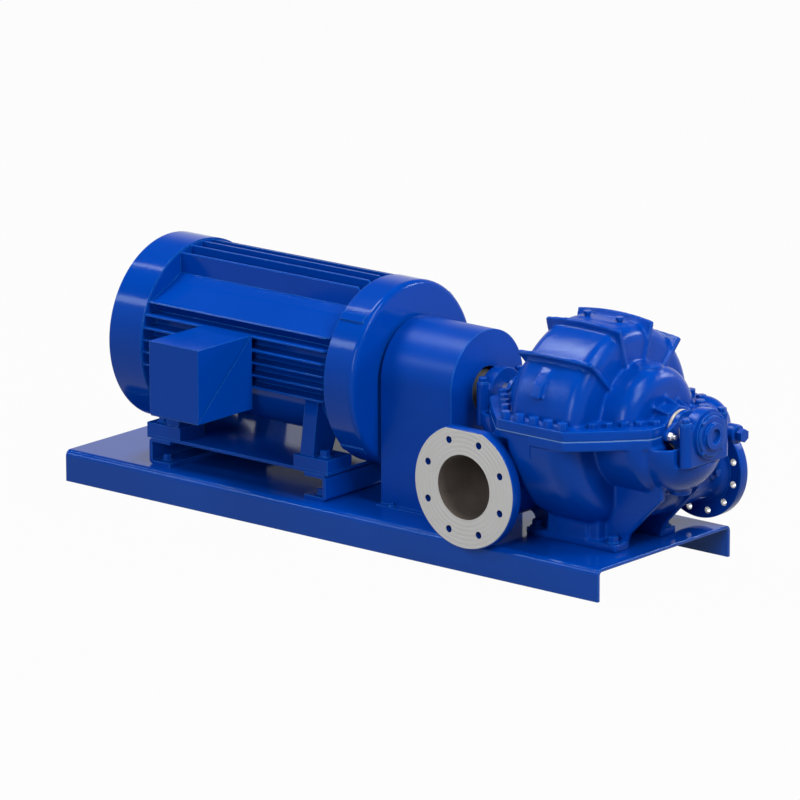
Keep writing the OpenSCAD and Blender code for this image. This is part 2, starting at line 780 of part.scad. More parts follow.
module lower_casing() color(paint) on_pump() difference() {
  union() {
    difference() {
      lower_half() {
        on_volute() turned_x() drum_profile(volute_r, hump_half, volute_corner);
        turned_x() drum_profile(chamber_r, chamber_half, chamber_corner);
        bar_x(box_r, -box_end, box_end);
        lobe();
      }
      discharge_place() bar_y(discharge_od / 2 + spot_clear, discharge_reach - flange_t - spot_deep, big / 2);
    }
    bearing_bowls();
    translate([0, 0, -parting_t]) linear_extrude(height = parting_t) parting_outline();
    suction_place() {
      bullet_y(suction_neck_r, suction_inner_y, suction_reach - eps);
      translate([0, suction_reach, 0]) intersection() {
        nozzle_flange(suction_od, suction_pcd, suction_holes);
        translate([-big / 2, -big / 2, suction_flat - big]) cube(big);
      }
    }
    discharge_place() {
      bullet_y(discharge_neck_r, discharge_inner_y, discharge_reach - eps);
      translate([0, discharge_reach, 0]) nozzle_flange(discharge_od, discharge_pcd, discharge_holes);
      translate([0, neck_plug_y, neck_plug_z]) bar_x(neck_boss_r, 0, discharge_neck_r + neck_boss_l);
    }
    both_sides() foot_web();
    translate([lobe_x, lobe_y, gauge_z]) bar_x(gauge_r, 0, lobe_r + gauge_l);
    translate([drain_x, 0, -bowl_drop - bowl_r - drain_drop]) cylinder(h = bowl_r / 2, r = drain_r);
  }
  shaft_bore();
  suction_place() bullet_y(suction_bore / 2, suction_inner_y, suction_reach + eps);
  discharge_place() bullet_y(discharge_bore / 2, discharge_inner_y, discharge_reach + eps);
  both_ends() {
    trough();
    translate([block_in, -seat_w, -block_drop]) cube([big, 2 * seat_w, big]);
  }
}

// Gland plate drawn out to two ears for its studs
module gland_outline() difference() {
  union() {
    circle(r = gland_r);
    for (s = [-1, 1]) translate([s * gland_stud_y, 0]) circle(r = gland_ear_r);
    polygon([
      [-gland_stud_y, gland_ear_r], [0, gland_r], [gland_stud_y, gland_ear_r],
      [gland_stud_y, -gland_ear_r], [0, -gland_r], [-gland_stud_y, -gland_ear_r]
    ]);
  }
  for (s = [-1, 1]) translate([s * gland_stud_y, 0]) circle(r = gland_hole_r);
}
module gland() difference() {
  union() {
    translate([gland_x, 0, 0]) along_x(gland_t) gland_outline();
    bar_x(sleeve_r + gland_t, box_end, gland_x + eps);
  }
  bar_x(sleeve_r + sleeve_gap, box_end - eps, gland_x + gland_t + eps);
}
module outboard_gland() color(paint) on_pump() gland();
module inboard_gland() color(paint) on_pump() mirror([1, 0, 0]) gland();

module bearing_bore() bar_x(pump_shaft_r + bearing_gap, 0, big);
module bearing_block() difference() {
  union() {
    translate([block_in, -block_bolt_y, -block_drop]) cube([block_t, 2 * block_bolt_y, block_drop]);
    both_sides() translate([block_in + block_t / 2, block_bolt_y, -block_drop])
      cylinder(h = block_drop, r = block_boss_r);
  }
  bearing_bore();
}
module bearing_cap() difference() {
  union() {
    upper_half() bar_x(cap_r, block_in, block_in + block_t);
    both_sides() translate([block_in + block_t / 2, block_bolt_y, 0])
      cylinder(h = boss_rise, r = block_boss_r);
    translate([block_in, -block_bolt_y, 0]) cube([block_t, 2 * block_bolt_y, cap_shoulder]);
  }
  bearing_bore();
}
module outboard_bearing_block() color(paint) on_pump() bearing_block();
module inboard_bearing_block() color(paint) on_pump() mirror([1, 0, 0]) bearing_block();
module outboard_bearing_cap() color(paint) on_pump() bearing_cap();
module inboard_bearing_cap() color(paint) on_pump() mirror([1, 0, 0]) bearing_cap();

// Stepped cover over a bearing's outer face
module bearing_cover(open) translate([block_in + block_t, 0, 0]) difference() {
  union() {
    bar_x(end_cover_r, 0, cover_step);
    bar_x(cover_ring_r, 0, cover_ring_l);
    bar_x(cover_hub_r, 0, end_cover_l);
  }
  if (open) bar_x(pump_shaft_r + sleeve_gap, -eps, end_cover_l + eps);
  else bar_x(cover_recess_r, end_cover_l - cover_step, end_cover_l + eps);
}
module outboard_bearing_cover() color(paint) on_pump() bearing_cover(false);
module inboard_bearing_cover() color(paint) on_pump() mirror([1, 0, 0]) bearing_cover(true);

// Hexagon headed pipe plug standing on its boss at z = 0
module pipe_plug(af, h) {
  cylinder(h = plug_stem + eps, d = af * plug_stem_share);
  translate([0, 0, plug_stem]) cylinder(h = h, d = af / cos(30), $fn = 6);
}
module vent_plugs() color(paint) on_pump() both_ends()
  translate([vent_x, vent_y, vent_top]) pipe_plug(vent_af, vent_h);
module nozzle_plugs() color(paint) on_pump() {
  translate([gauge_seat, lobe_y, gauge_z]) rotate([0, 90, 0]) pipe_plug(plug_af, plug_h);
  discharge_place() translate([discharge_neck_r + neck_boss_l, neck_plug_y, neck_plug_z])
    rotate([0, 90, 0]) pipe_plug(vent_af, vent_h);
}

base_plate();
motor_stand_plate();
stand_channel_rear();
stand_channel_front();
motor_frame();
drive_end_bracket();
fan_cover();
cooling_fan();
motor_shaft();
terminal_box();
terminal_box_cover();
coupling_guard();
guard_end_plate();
motor_hub();
coupling_insert();
pump_hub();
pump_shaft();
inboard_sleeve();
outboard_sleeve();
lower_casing();
upper_casing();
inboard_gland();
outboard_gland();
inboard_bearing_block();
outboard_bearing_block();
inboard_bearing_cap();
outboard_bearing_cap();
inboard_bearing_cover();
outboard_bearing_cover();
vent_plugs();
nozzle_plugs();
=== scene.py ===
"""Looks of a horizontal split case pump set: motor, guarded coupling and pump on a folded base plate."""
import json
import logging
import math
from dataclasses import dataclass, field
from enum import Enum
from functools import cache
from typing import Iterable, NamedTuple, Sequence

import bmesh
import bpy
from mathutils import Matrix, Vector


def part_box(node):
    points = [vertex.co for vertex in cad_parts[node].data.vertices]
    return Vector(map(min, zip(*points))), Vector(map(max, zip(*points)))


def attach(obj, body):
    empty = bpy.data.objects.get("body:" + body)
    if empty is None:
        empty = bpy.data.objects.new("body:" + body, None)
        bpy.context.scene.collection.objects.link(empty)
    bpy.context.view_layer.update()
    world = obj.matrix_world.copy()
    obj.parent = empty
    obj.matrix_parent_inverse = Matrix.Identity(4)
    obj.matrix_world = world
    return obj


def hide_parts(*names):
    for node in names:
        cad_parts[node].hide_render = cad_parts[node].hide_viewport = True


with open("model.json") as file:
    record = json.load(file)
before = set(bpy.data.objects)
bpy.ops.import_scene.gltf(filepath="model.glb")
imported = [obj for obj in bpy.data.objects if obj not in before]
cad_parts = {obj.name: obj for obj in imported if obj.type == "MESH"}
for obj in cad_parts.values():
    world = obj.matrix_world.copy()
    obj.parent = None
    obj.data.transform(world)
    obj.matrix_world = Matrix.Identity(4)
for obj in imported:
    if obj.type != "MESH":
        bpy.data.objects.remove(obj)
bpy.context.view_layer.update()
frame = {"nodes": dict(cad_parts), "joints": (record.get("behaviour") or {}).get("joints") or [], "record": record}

LOG = logging.getLogger("pump_set")
MM = 0.001
IMAGE_PX = 800
SENSOR_MM = 36.0
RECORD = frame["record"]
NODES: dict[str, bpy.types.Object] = frame["nodes"]
# Pump centre on the shaft line, which is where the rotor's joint is stated
PUMP = Vector(frame["joints"][0]["pos_m"])
Colour = tuple[float, float, float, float]
Pair = tuple[float, float]
BMesh = bmesh.types.BMesh
Node = bpy.types.ShaderNode
Socket = bpy.types.NodeSocket
FLOAT = "NodeSocketFloat"
VECTOR = "NodeSocketVector"
# Corners of large and small round shapes
ROUND_SIDES = 96
HOLE_SIDES = 24


class Body(str, Enum):
    """Bodies of the frame that the added pieces ride on."""

    FIXED = "stationary"


class Slot(str, Enum):
    """Material slots of the record, passed along with the added pieces but never assigned to them."""

    PAINT = "blue_paint"
    CAST = "blue_cast_iron"
    STEEL = "bare_steel"


class End(Enum):
    """Ends of the pump along the shaft."""

    INBOARD = -1
    OUTBOARD = 1

    @property
    def word(self) -> str:
        """Name of the end in lower case."""
        return self.name.lower()


def at_pump(x: float, y: float, z: float) -> Vector:
    """Point given in millimetres from the pump centre, in the part's frame.

    Args:
        x: Distance along the shaft towards the outboard end.
        y: Distance across, towards the discharge.
        z: Height above the shaft line.

    Returns:
        The point in metres.
    """
    return PUMP + Vector((x, y, z)) * MM


class NodeBench:
    """Small helper that adds and links shader nodes in one tree."""

    def __init__(self, tree: bpy.types.ShaderNodeTree) -> None:
        """Takes the tree to work on."""
        self.tree = tree

    def add(self, kind: str, **values: object) -> Node:
        """Adds a node.

        Args:
            kind: Blender's node type name.
            values: Node properties by name.

        Returns:
            The new node.
        """
        made = self.tree.nodes.new(kind)
        for name, value in values.items():
            setattr(made, name, value)
        return made

    def link(self, out: Socket, into: Socket) -> None:
        """Links two sockets."""
        self.tree.links.new(out, into)

    def math(self, operation: str, *values: object) -> Socket:
        """Adds a Math node fed by sockets or plain numbers.

        Args:
            operation: Blender's operation name.
            values: Socket or number for each input in order.

        Returns:
            The node's result socket.
        """
        made = self.add("ShaderNodeMath", operation=operation)
        for index, value in enumerate(values):
            if isinstance(value, Socket):
                self.link(value, made.inputs[index])
            else:
                made.inputs[index].default_value = value
        return made.outputs[0]


class GroupBench(NodeBench):
    """A new shader node group with its input and output nodes."""

    def __init__(self, name: str, inputs: dict[str, float], outputs: dict[str, str]) -> None:
        """Makes the group.

        Args:
            name: Name of the group.
            inputs: Default of each number that goes in, by name.
            outputs: Socket type of each output, by name.
        """
        super().__init__(bpy.data.node_groups.new(name, "ShaderNodeTree"))
        for label, value in inputs.items():
            socket = self.tree.interface.new_socket(name=label, in_out="INPUT", socket_type=FLOAT)
            socket.default_value = value
        for label, kind in outputs.items():
            self.tree.interface.new_socket(name=label, in_out="OUTPUT", socket_type=kind)
        self.source = self.add("NodeGroupInput").outputs
        self.sink = self.add("NodeGroupOutput").inputs


class ShaderGroups:
    """Shader node groups shared by the finishes, each built once."""

    @staticmethod
    @cache
    def edge_round_and_highlight() -> bpy.types.ShaderNodeTree:
        """Rounded edges for the normal, and a painted highlight mask that is bright along them.

        Returns:
            The group's node tree.
        """
        group = GroupBench("edge_round_and_highlight", {"Radius": 0.003, "Gain": 4.0}, {"Mask": FLOAT, "Normal": VECTOR})
        bevel = group.add("ShaderNodeBevel", samples=4)
        group.link(group.source["Radius"], bevel.inputs["Radius"])
        geometry = group.add("ShaderNodeNewGeometry")
        dot = group.add("ShaderNodeVectorMath", operation="DOT_PRODUCT")
        group.link(bevel.outputs["Normal"], dot.inputs[0])
        group.link(geometry.outputs["Normal"], dot.inputs[1])
        turned = group.math("SUBTRACT", 1.0, dot.outputs["Value"])
        mask = group.math("MINIMUM", group.math("MULTIPLY", turned, group.source["Gain"]), 1.0)
        group.link(mask, group.sink["Mask"])
        group.link(bevel.outputs["Normal"], group.sink["Normal"])
        return group.tree

    @staticmethod
    @cache
    def grain() -> bpy.types.ShaderNodeTree:
        """Fine and broad noise for orange peel, cast skin and uneven gloss.

        Returns:
            The group's node tree.
        """
        scales = {"Fine Scale": 600.0, "Broad Scale": 9.0}
        group = GroupBench("grain", scales, {"Fine": FLOAT, "Broad": FLOAT})
        coords = group.add("ShaderNodeTexCoord")
        for label, detail in (("Fine", 3.0), ("Broad", 2.0)):
            noise = group.add("ShaderNodeTexNoise")
            noise.inputs["Detail"].default_value = detail
            group.link(coords.outputs["Object"], noise.inputs["Vector"])
            group.link(group.source[label + " Scale"], noise.inputs["Scale"])
            group.link(noise.outputs["Fac"], group.sink[label])
        return group.tree

    @staticmethod
    @cache
    def turned_rings() -> bpy.types.ShaderNodeTree:
        """Concentric tool marks round an axis along Y through the object's own origin.

        Returns:
            The group's node tree.
        """
        group = GroupBench("turned_rings", {"Rings": 2000.0}, {"Height": FLOAT})
        parts = group.add("ShaderNodeSeparateXYZ")
        group.link(group.add("ShaderNodeTexCoord").outputs["Object"], parts.inputs[0])
        squares = [group.math("MULTIPLY", parts.outputs[axis], parts.outputs[axis]) for axis in "XZ"]
        radius = group.math("SQRT", group.math("ADD", *squares))
        wave = group.math("SINE", group.math("MULTIPLY", radius, group.source["Rings"]))
        group.link(group.math("MULTIPLY_ADD", wave, 0.5, 0.5), group.sink["Height"])
        return group.tree


class Makings(NamedTuple):
    """Nodes that a finish is made of.

    Attributes:
        bench: Helper for the material's tree.
        shader: The Principled node.
        edge: The group for rounded edges and their painted highlight.
        grain: The grain group.
    """

    bench: NodeBench
    shader: Node
    edge: Node
    grain: Node


@dataclass(frozen=True)
class Finish:
    """A surface finish with rounded edges, a painted highlight along them, and uneven gloss.

    Attributes:
        name: Name of the material.
        colour: Base colour.
        edge_highlight_colour: Paler colour along edges, a painted highlight.
        roughness: Middle roughness.
        roughness_spread: How far the roughness wanders.
        metallic: Metallic value.
        ior: Index of refraction.
        tint: Tint of reflections seen head-on.
        edge_radius: Rounding seen along edges, in metres.
        edge_gain: Strength of the painted edge highlight's mask.
        tint_spread: How far the colour wanders.
        fine_scale: Scale of the fine grain.
        bump: Height of the fine grain, in metres.
        broad_scale: Scale of the broad waves.
        broad_bump: Height of the broad waves, in metres.
        smoothest: Lowest roughness that it can wander to.
    """

    name: str
    colour: Colour
    edge_highlight_colour: Colour
    roughness: float = 0.25
    roughness_spread: float = 0.12
    metallic: float = 0.0
    ior: float = 1.4
    tint: Colour = (1.0, 1.0, 1.0, 1.0)
    edge_radius: float = 0.003
    edge_gain: float = 1.5
    tint_spread: float = 0.12
    fine_scale: float = 500.0
    bump: float = 0.0
    broad_scale: float = 9.0
    broad_bump: float = 0.0
    smoothest: float = 0.02

    def build(self) -> bpy.types.Material:
        """Makes the material, or finds it if it was made before.

        Returns:
            The material.
        """
        if self.name in bpy.data.materials:
            return bpy.data.materials[self.name]
        material = bpy.data.materials.new(self.name)
        material.use_nodes = True
        bench = NodeBench(material.node_tree)
        shader = material.node_tree.nodes["Principled BSDF"]
        shader.inputs["Metallic"].default_value = self.metallic
        shader.inputs["IOR"].default_value = self.ior
        shader.inputs["Specular Tint"].default_value = self.tint
        edge = bench.add("ShaderNodeGroup", node_tree=ShaderGroups.edge_round_and_highlight())
        edge.inputs["Radius"].default_value = self.edge_radius
        edge.inputs["Gain"].default_value = self.edge_gain
        grain = bench.add("ShaderNodeGroup", node_tree=ShaderGroups.grain())
        grain.inputs["Fine Scale"].default_value = self.fine_scale
        grain.inputs["Broad Scale"].default_value = self.broad_scale
        use = Makings(bench, shader, edge, grain)
        self._colour(use)
        self._gloss(use)
        self._surface(use)
        return material

    def _colour(self, use: Makings) -> None:
        """Feeds the base colour with broad tint changes and paler edges, which are a painted highlight.

        Args:
            use: The finish's nodes.
        """
        tint = use.bench.add("ShaderNodeMapRange")
        tint.inputs["To Min"].default_value = 1.0 - self.tint_spread
        tint.inputs["To Max"].default_value = 1.0 + self.tint_spread
        use.bench.link(use.grain.outputs["Broad"], tint.inputs["Value"])
        body = use.bench.add("ShaderNodeMix", data_type="RGBA", blend_type="MULTIPLY")
        body.inputs["Factor"].default_value = 1.0
        body.inputs["A"].default_value = self.colour
        use.bench.link(tint.outputs["Result"], body.inputs["B"])
        # Paler colour mixed in along edges: a painted highlight.
        highlit = use.bench.add("ShaderNodeMix", data_type="RGBA")
        highlit.inputs["B"].default_value = self.edge_highlight_colour
        use.bench.link(use.edge.outputs["Mask"], highlit.inputs["Factor"])
        use.bench.link(body.outputs["Result"], highlit.inputs["A"])
        use.bench.link(highlit.outputs["Result"], use.shader.inputs["Base Color"])

    def _gloss(self, use: Makings) -> None:
        """Feeds the roughness with the broad noise.

        Args:
            use: The finish's nodes.
        """
        gloss = use.bench.add("ShaderNodeMapRange")
        gloss.inputs["To Min"].default_value = max(self.smoothest, self.roughness - self.roughness_spread)
        gloss.inputs["To Max"].default_value = self.roughness + self.roughness_spread
        use.bench.link(use.grain.outputs["Broad"], gloss.inputs["Value"])
        use.bench.link(gloss.outputs["Result"], use.shader.inputs["Roughness"])

    def _surface(self, use: Makings) -> None:
        """Feeds the normal with rounded edges under fine and broad bumps.

        Args:
            use: The finish's nodes.
        """
        normal = use.edge.outputs["Normal"]
        for height, label in ((self.broad_bump, "Broad"), (self.bump, "Fine")):
            if height <= 0.0:
                continue
            bump = use.bench.add("ShaderNodeBump")
            bump.inputs["Distance"].default_value = height
            use.bench.link(use.grain.outputs[label], bump.inputs["Height"])
            use.bench.link(normal, bump.inputs["Normal"])
            normal = bump.outputs["Normal"]
        use.bench.link(normal, use.shader.inputs["Normal"])


@dataclass(frozen=True)
class TurnedFace(Finish):
    """A machined face with concentric tool marks round the object's own Y axis.

    Attributes:
        rings: Waves per metre of radius, in radians.
        ring_height: Height of the tool marks, in metres.
    """

    rings: float = 900.0
    ring_height: float = 0.0004

    def _surface(self, use: Makings) -> None:
        """Feeds the normal with the tool marks.

        Args:
            use: The finish's nodes.
        """
        marks = use.bench.add("ShaderNodeGroup", node_tree=ShaderGroups.turned_rings())
        marks.inputs["Rings"].default_value = self.rings
        bump = use.bench.add("ShaderNodeBump")
        bump.inputs["Distance"].default_value = self.ring_height
        use.bench.link(marks.outputs["Height"], bump.inputs["Height"])
        use.bench.link(use.edge.outputs["Normal"], bump.inputs["Normal"])
        use.bench.link(bump.outputs["Normal"], use.shader.inputs["Normal"])


# The second colour of each finish is its paler edge colour, a painted highlight along edges.
ROYAL_BLUE: Colour = (0.0, 0.045, 0.34, 1.0)
# Paler blue along edges: a painted highlight.
EDGE_HIGHLIGHT_BLUE: Colour = (0.02, 0.22, 0.75, 1.0)
BLUE_SHEEN: Colour = (0.25, 0.55, 1.0, 1.0)
CLEAR_SHEEN: Colour = (0.6, 0.85, 1.0, 1.0)
SHEET_PAINT = Finish(
    "sheet_paint", ROYAL_BLUE, EDGE_HIGHLIGHT_BLUE, roughness=0.13, roughness_spread=0.04, ior=1.22, tint=CLEAR_SHEEN,
    edge_radius=0.004, fine_scale=420.0, bump=0.00004, broad_scale=3.0, broad_bump=0.0004,
)
CAST_PAINT = Finish(
    "cast_paint", ROYAL_BLUE, EDGE_HIGHLIGHT_BLUE, roughness=0.17, roughness_spread=0.05, ior=1.24, tint=CLEAR_SHEEN,
    edge_radius=0.004, fine_scale=330.0, bump=0.0005, broad_scale=14.0, broad_bump=0.001,
)
BASE_PAINT = Finish(
    "base_paint", ROYAL_BLUE, EDGE_HIGHLIGHT_BLUE, roughness=0.07, roughness_spread=0.02, ior=1.4, tint=BLUE_SHEEN,
    edge_radius=0.004, broad_scale=3.0, broad_bump=0.0002,
)
SATIN_PAINT = Finish(
    "satin_paint", ROYAL_BLUE, EDGE_HIGHLIGHT_BLUE, roughness=0.32, roughness_spread=0.06, ior=1.22, tint=CLEAR_SHEEN,
    edge_radius=0.004, fine_scale=420.0, bump=0.00004,
)
# Paler blue of the seam plate: a painted highlight along the parting line.
SEAM_HIGHLIGHT_PAINT = Finish(
    "seam_highlight_paint", (0.1, 0.22, 0.5, 1.0), (0.3, 0.42, 0.62, 1.0), roughness=0.4, edge_radius=0.001,
)
BARE_STEEL = Finish(
    "bare_steel", (0.62, 0.61, 0.6, 1.0), (0.85, 0.85, 0.84, 1.0), roughness=0.24, metallic=1.0,
    edge_radius=0.0012, fine_scale=900.0, bump=0.00005,
)
MACHINED_RIM = Finish(
    "machined_rim", (0.62, 0.56, 0.47, 1.0), (0.8, 0.75, 0.68, 1.0), roughness=0.35, metallic=0.3,
    edge_radius=0.001, fine_scale=900.0, bump=0.00005,
)
HUB_IRON = Finish(
    "hub_iron", (0.09, 0.09, 0.1, 1.0), (0.3, 0.3, 0.3, 1.0), roughness=0.4, metallic=1.0,
    fine_scale=700.0, bump=0.0001,
)
INSERT_RUBBER = Finish(
    "insert_rubber", (0.5, 0.13, 0.02, 1.0), (0.55, 0.2, 0.06, 1.0), roughness=0.6,
    fine_scale=900.0, bump=0.0001,
)
FAN_PLASTIC = Finish(
    "fan_plastic", (0.02, 0.02, 0.022, 1.0), (0.06, 0.06, 0.06, 1.0), roughness=0.5,
    fine_scale=700.0, bump=0.0001,
)
BORE_IRON = Finish(
    "bore_iron", (0.15, 0.125, 0.11, 1.0), (0.25, 0.22, 0.2, 1.0), roughness=0.5, roughness_spread=0.15,
    tint_spread=0.5, fine_scale=160.0, bump=0.0008, broad_scale=11.0, broad_bump=0.001,
)
FLANGE_FACE = TurnedFace(
    "flange_face", (0.52, 0.515, 0.51, 1.0), (0.62, 0.52, 0.42, 1.0), roughness=0.42, roughness_spread=0.06,
    metallic=0.2, edge_radius=0.002, tint_spread=0.06, rings=450.0, ring_height=0.0006,
)


class Workshop:
    """Makes mesh objects, dresses them and hangs them on the frame."""

    SMOOTH_ANGLE = math.radians(32)
    WELD_GAP = 0.00002
    BLEND = 0.5

    @classmethod
    def place(
        cls,
        name: str,
        mesh: bpy.types.Mesh,
        finish: Finish,
        slot: Slot,
        body: Body = Body.FIXED,
        origin: Vector | None = None,
    ) -> bpy.types.Object:
        """Turns a mesh into a piece that rides on a body.

        Args:
            name: Name of the piece.
            mesh: Its mesh, in metres.
            finish: Its finish.
            slot: The record's material slot; not used.
            body: The body that it rides on.
            origin: Place of the mesh's own origin in the part's frame.

        Returns:
            The piece.
        """
        mesh.materials.clear()
        mesh.materials.append(finish.build())
        mesh.shade_smooth()
        mesh.set_sharp_from_angle(angle=cls.SMOOTH_ANGLE)
        piece = bpy.data.objects.new(name, mesh)
        if origin is not None:
            piece.location = origin
        bpy.context.scene.collection.objects.link(piece)
        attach(piece, body.value)
        LOG.info("%s: %d faces", name, len(mesh.polygons))
        return piece

    @staticmethod
    def mesh(name: str, shape: BMesh) -> bpy.types.Mesh:
        """Closes a working mesh into a stored one with outward normals.

        Args:
            name: Name of the mesh.
            shape: Working mesh, which is used up.

        Returns:
            The mesh.
        """
        bmesh.ops.recalc_face_normals(shape, faces=shape.faces)
        made = bpy.data.meshes.new(name)
        shape.to_mesh(made)
        shape.free()
        return made

    @staticmethod
    def tube(
        shape: BMesh, where: Matrix, rings: Sequence[Pair], sides: int, closed: bool = False
    ) -> list[list[bmesh.types.BMVert]]:
        """Adds a surface turned round its own Z axis.

        Args:
            shape: Working mesh to add to.
            where: Place and direction of the axis.
            rings: Radius and height of each ring in order.
            sides: Corners of each ring.
            closed: Whether the last ring joins the first, as in a washer.

        Returns:
            The corners of each ring.
        """
        turns = [2 * math.pi * i / sides for i in range(sides)]
        loops = []
        for radius, height in rings:
            corners = [Vector((radius * math.cos(t), radius * math.sin(t), height)) for t in turns]
            loops.append([shape.verts.new(where @ corner) for corner in corners])
        pairs = list(zip(loops, loops[1:]))
        if closed:
            pairs.append((loops[-1], loops[0]))
        for lower, upper in pairs:
            for i in range(sides):
                j = (i + 1) % sides
                shape.faces.new((lower[i], lower[j], upper[j], upper[i]))
        return loops

    @classmethod
    def stack(cls, shape: BMesh, where: Matrix, rings: Sequence[Pair], sides: int) -> None:
        """Adds a closed solid of polygon rings stacked along its own Z axis.

        Args:
            shape: Working mesh to add to.
            where: Place and direction of the solid.
            rings: Radius and height of each ring, from the foot up.
            sides: Corners of each ring.
        """
        loops = cls.tube(shape, where, rings, sides)
        shape.faces.new(list(reversed(loops[0])))
        shape.faces.new(loops[-1])

    @staticmethod
    def aim(point: Vector, direction: Vector, turn: float = 0.0) -> Matrix:
        """Matrix that stands a solid on a point, with its Z axis along a direction.

        Args:
            point: Foot of the solid.
            direction: Where its Z axis points.
            turn: Turn about that axis, in radians.

        Returns:
            The matrix.
        """
        tilt = direction.normalized().to_track_quat("Z", "Y").to_matrix().to_4x4()
        return Matrix.Translation(point) @ tilt @ Matrix.Rotation(turn, 4, "Z")

    @classmethod
    def plate(
        cls,
        name: str,
        outlines: Sequence[Sequence[Vector]],
        thickness: float,
        rounding: float,
        upright: bool = True,
    ) -> bpy.types.Mesh:
        """Flat plate with holes, centred on its own middle plane.

        Args:
            name: Name of the mesh.
            outlines: Outer outline first, then the holes, as flat points.
            thickness: Thickness of the plate.
            rounding: Radius of its rounded edges.
            upright: Whether it stands in X and Z, or lies in X and Y.

        Returns:
            The mesh.
        """
        drawing = bpy.data.curves.new(name, "CURVE")
        drawing.dimensions = "2D"
        drawing.fill_mode = "BOTH"
        drawing.extrude = thickness / 2 - rounding
        drawing.bevel_depth = rounding
        drawing.bevel_resolution = 2
        drawing.offset = -rounding
        for outline in outlines:
            spline = drawing.splines.new("POLY")
            spline.points.add(len(outline) - 1)
            for point, corner in zip(spline.points, outline):
                point.co = (corner[0], corner[1], 0.0, 1.0)
            spline.use_cyclic_u = True
        made = cls._baked(bpy.data.objects.new(name, drawing))
        if upright:
            made.transform(Matrix.Rotation(math.pi / 2, 4, "X"))
        return made

    @classmethod
    def cast_skin(
        cls,
        name: str,
        nodes: Sequence[str],
        voxel: float,
        rounds: int,
        trims: Sequence[tuple[Vector, Vector]] = (),
        extras: Sequence[bpy.types.Mesh] = (),
    ) -> bpy.types.Object:
        """Copy of cast nodes with their corners run together as in a sand casting.

        Args:
            name: Name of the piece.
            nodes: CAD nodes that the skin stands for.
            voxel: Grid size of the new surface.
            rounds: Rounds of smoothing.
            trims: Boxes, as low and high corners, that are cut away first.
            extras: Swellings that are run into the skin.

        Returns:
            The piece, which replaces the nodes.
        """
        shape = bmesh.new()
        for node in nodes:
            shape.from_mesh(cls._trimmed(node, trims))
        for extra in extras:
            shape.from_mesh(extra)
        work = bpy.data.objects.new(name + "_work", cls.mesh(name, shape))
        remesh = work.modifiers.new("cast", "REMESH")
        remesh.mode = "VOXEL"
        remesh.voxel_size = voxel
        smooth = work.modifiers.new("blend", "SMOOTH")
        smooth.factor = cls.BLEND
        smooth.iterations = rounds
        piece = cls.place(name, cls._baked(work), CAST_PAINT, Slot.CAST)
        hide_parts(*nodes)
        return piece

    @classmethod
    def _trimmed(cls, node: str, trims: Sequence[tuple[Vector, Vector]]) -> bpy.types.Mesh:
        """Welded copy of a node's mesh with boxes cut away.

        Args:
            node: Name of the CAD node.
            trims: Boxes, as low and high corners.

        Returns:
            The mesh.
        """
        work = bpy.data.objects.new(node + "_work", NODES[node].data.copy())
        weld = work.modifiers.new("weld", "WELD")
        weld.merge_threshold = cls.WELD_GAP
        cutters = [cls._cutter(low, high) for low, high in trims]
        for cutter in cutters:
            cut = work.modifiers.new("trim", "BOOLEAN")
            cut.operation = "DIFFERENCE"
            cut.solver = "EXACT"
            cut.object = cutter
        return cls._baked(work, *cutters)

    @staticmethod
    def _baked(work: bpy.types.Object, *others: bpy.types.Object) -> bpy.types.Mesh:
        """Mesh of a working object as its modifiers leave it.

        Args:
            work: The object, which is used up.
            others: Objects that are used up with it.

        Returns:
            The mesh.
        """
        bpy.context.scene.collection.objects.link(work)
        graph = bpy.context.evaluated_depsgraph_get()
        made = bpy.data.meshes.new_from_object(work.evaluated_get(graph))
        for spent in (work, *others):
            bpy.data.objects.remove(spent)
        return made

    @classmethod
    def halved(cls, name: str, shape: BMesh, level: float, upper: bool) -> bpy.types.Mesh:
        """Part of a closed solid above or below a level, closed by a flat face.

        Args:
            name: Name of the mesh.
            shape: The solid, which is used up.
            level: Height of the cut.
            upper: Whether the part above the cut is kept.

        Returns:
            The mesh.
        """
        everything = [*shape.verts, *shape.edges, *shape.faces]
        bmesh.ops.bisect_plane(
            shape, geom=everything, plane_co=(0.0, 0.0, level), plane_no=(0.0, 0.0, 1.0),
            clear_inner=upper, clear_outer=not upper,
        )
        bmesh.ops.holes_fill(shape, edges=shape.edges, sides=0)
        return cls.mesh(name, shape)

    @classmethod
    def _cutter(cls, low: Vector, high: Vector) -> bpy.types.Object:
        """Box object used as a cutter.

        Args:
            low: Its low corner.
            high: Its high corner.

        Returns:
            The object.
        """
        shape = bmesh.new()
        bmesh.ops.create_cube(shape, size=1.0)
        size = high - low
        for corner in shape.verts:
            corner.co = Vector((corner.co[i] * size[i] for i in range(3))) + (low + high) / 2
        cutter = bpy.data.objects.new("cutter", cls.mesh("cutter", shape))
        bpy.context.scene.collection.objects.link(cutter)
        return cutter


# Proportions of fasteners, as shares of their own sizes
HEAD_HEIGHT = 0.62
HEAD_CHAMFER = 0.16
HEAD_TOP = 0.86
WASHER_HEIGHT = 0.14
WASHER_CHAMFER = 0.25
TIP_CHAMFER = 0.2
# Turn from each head to the next, in radians
HEAD_TURN = 0.7


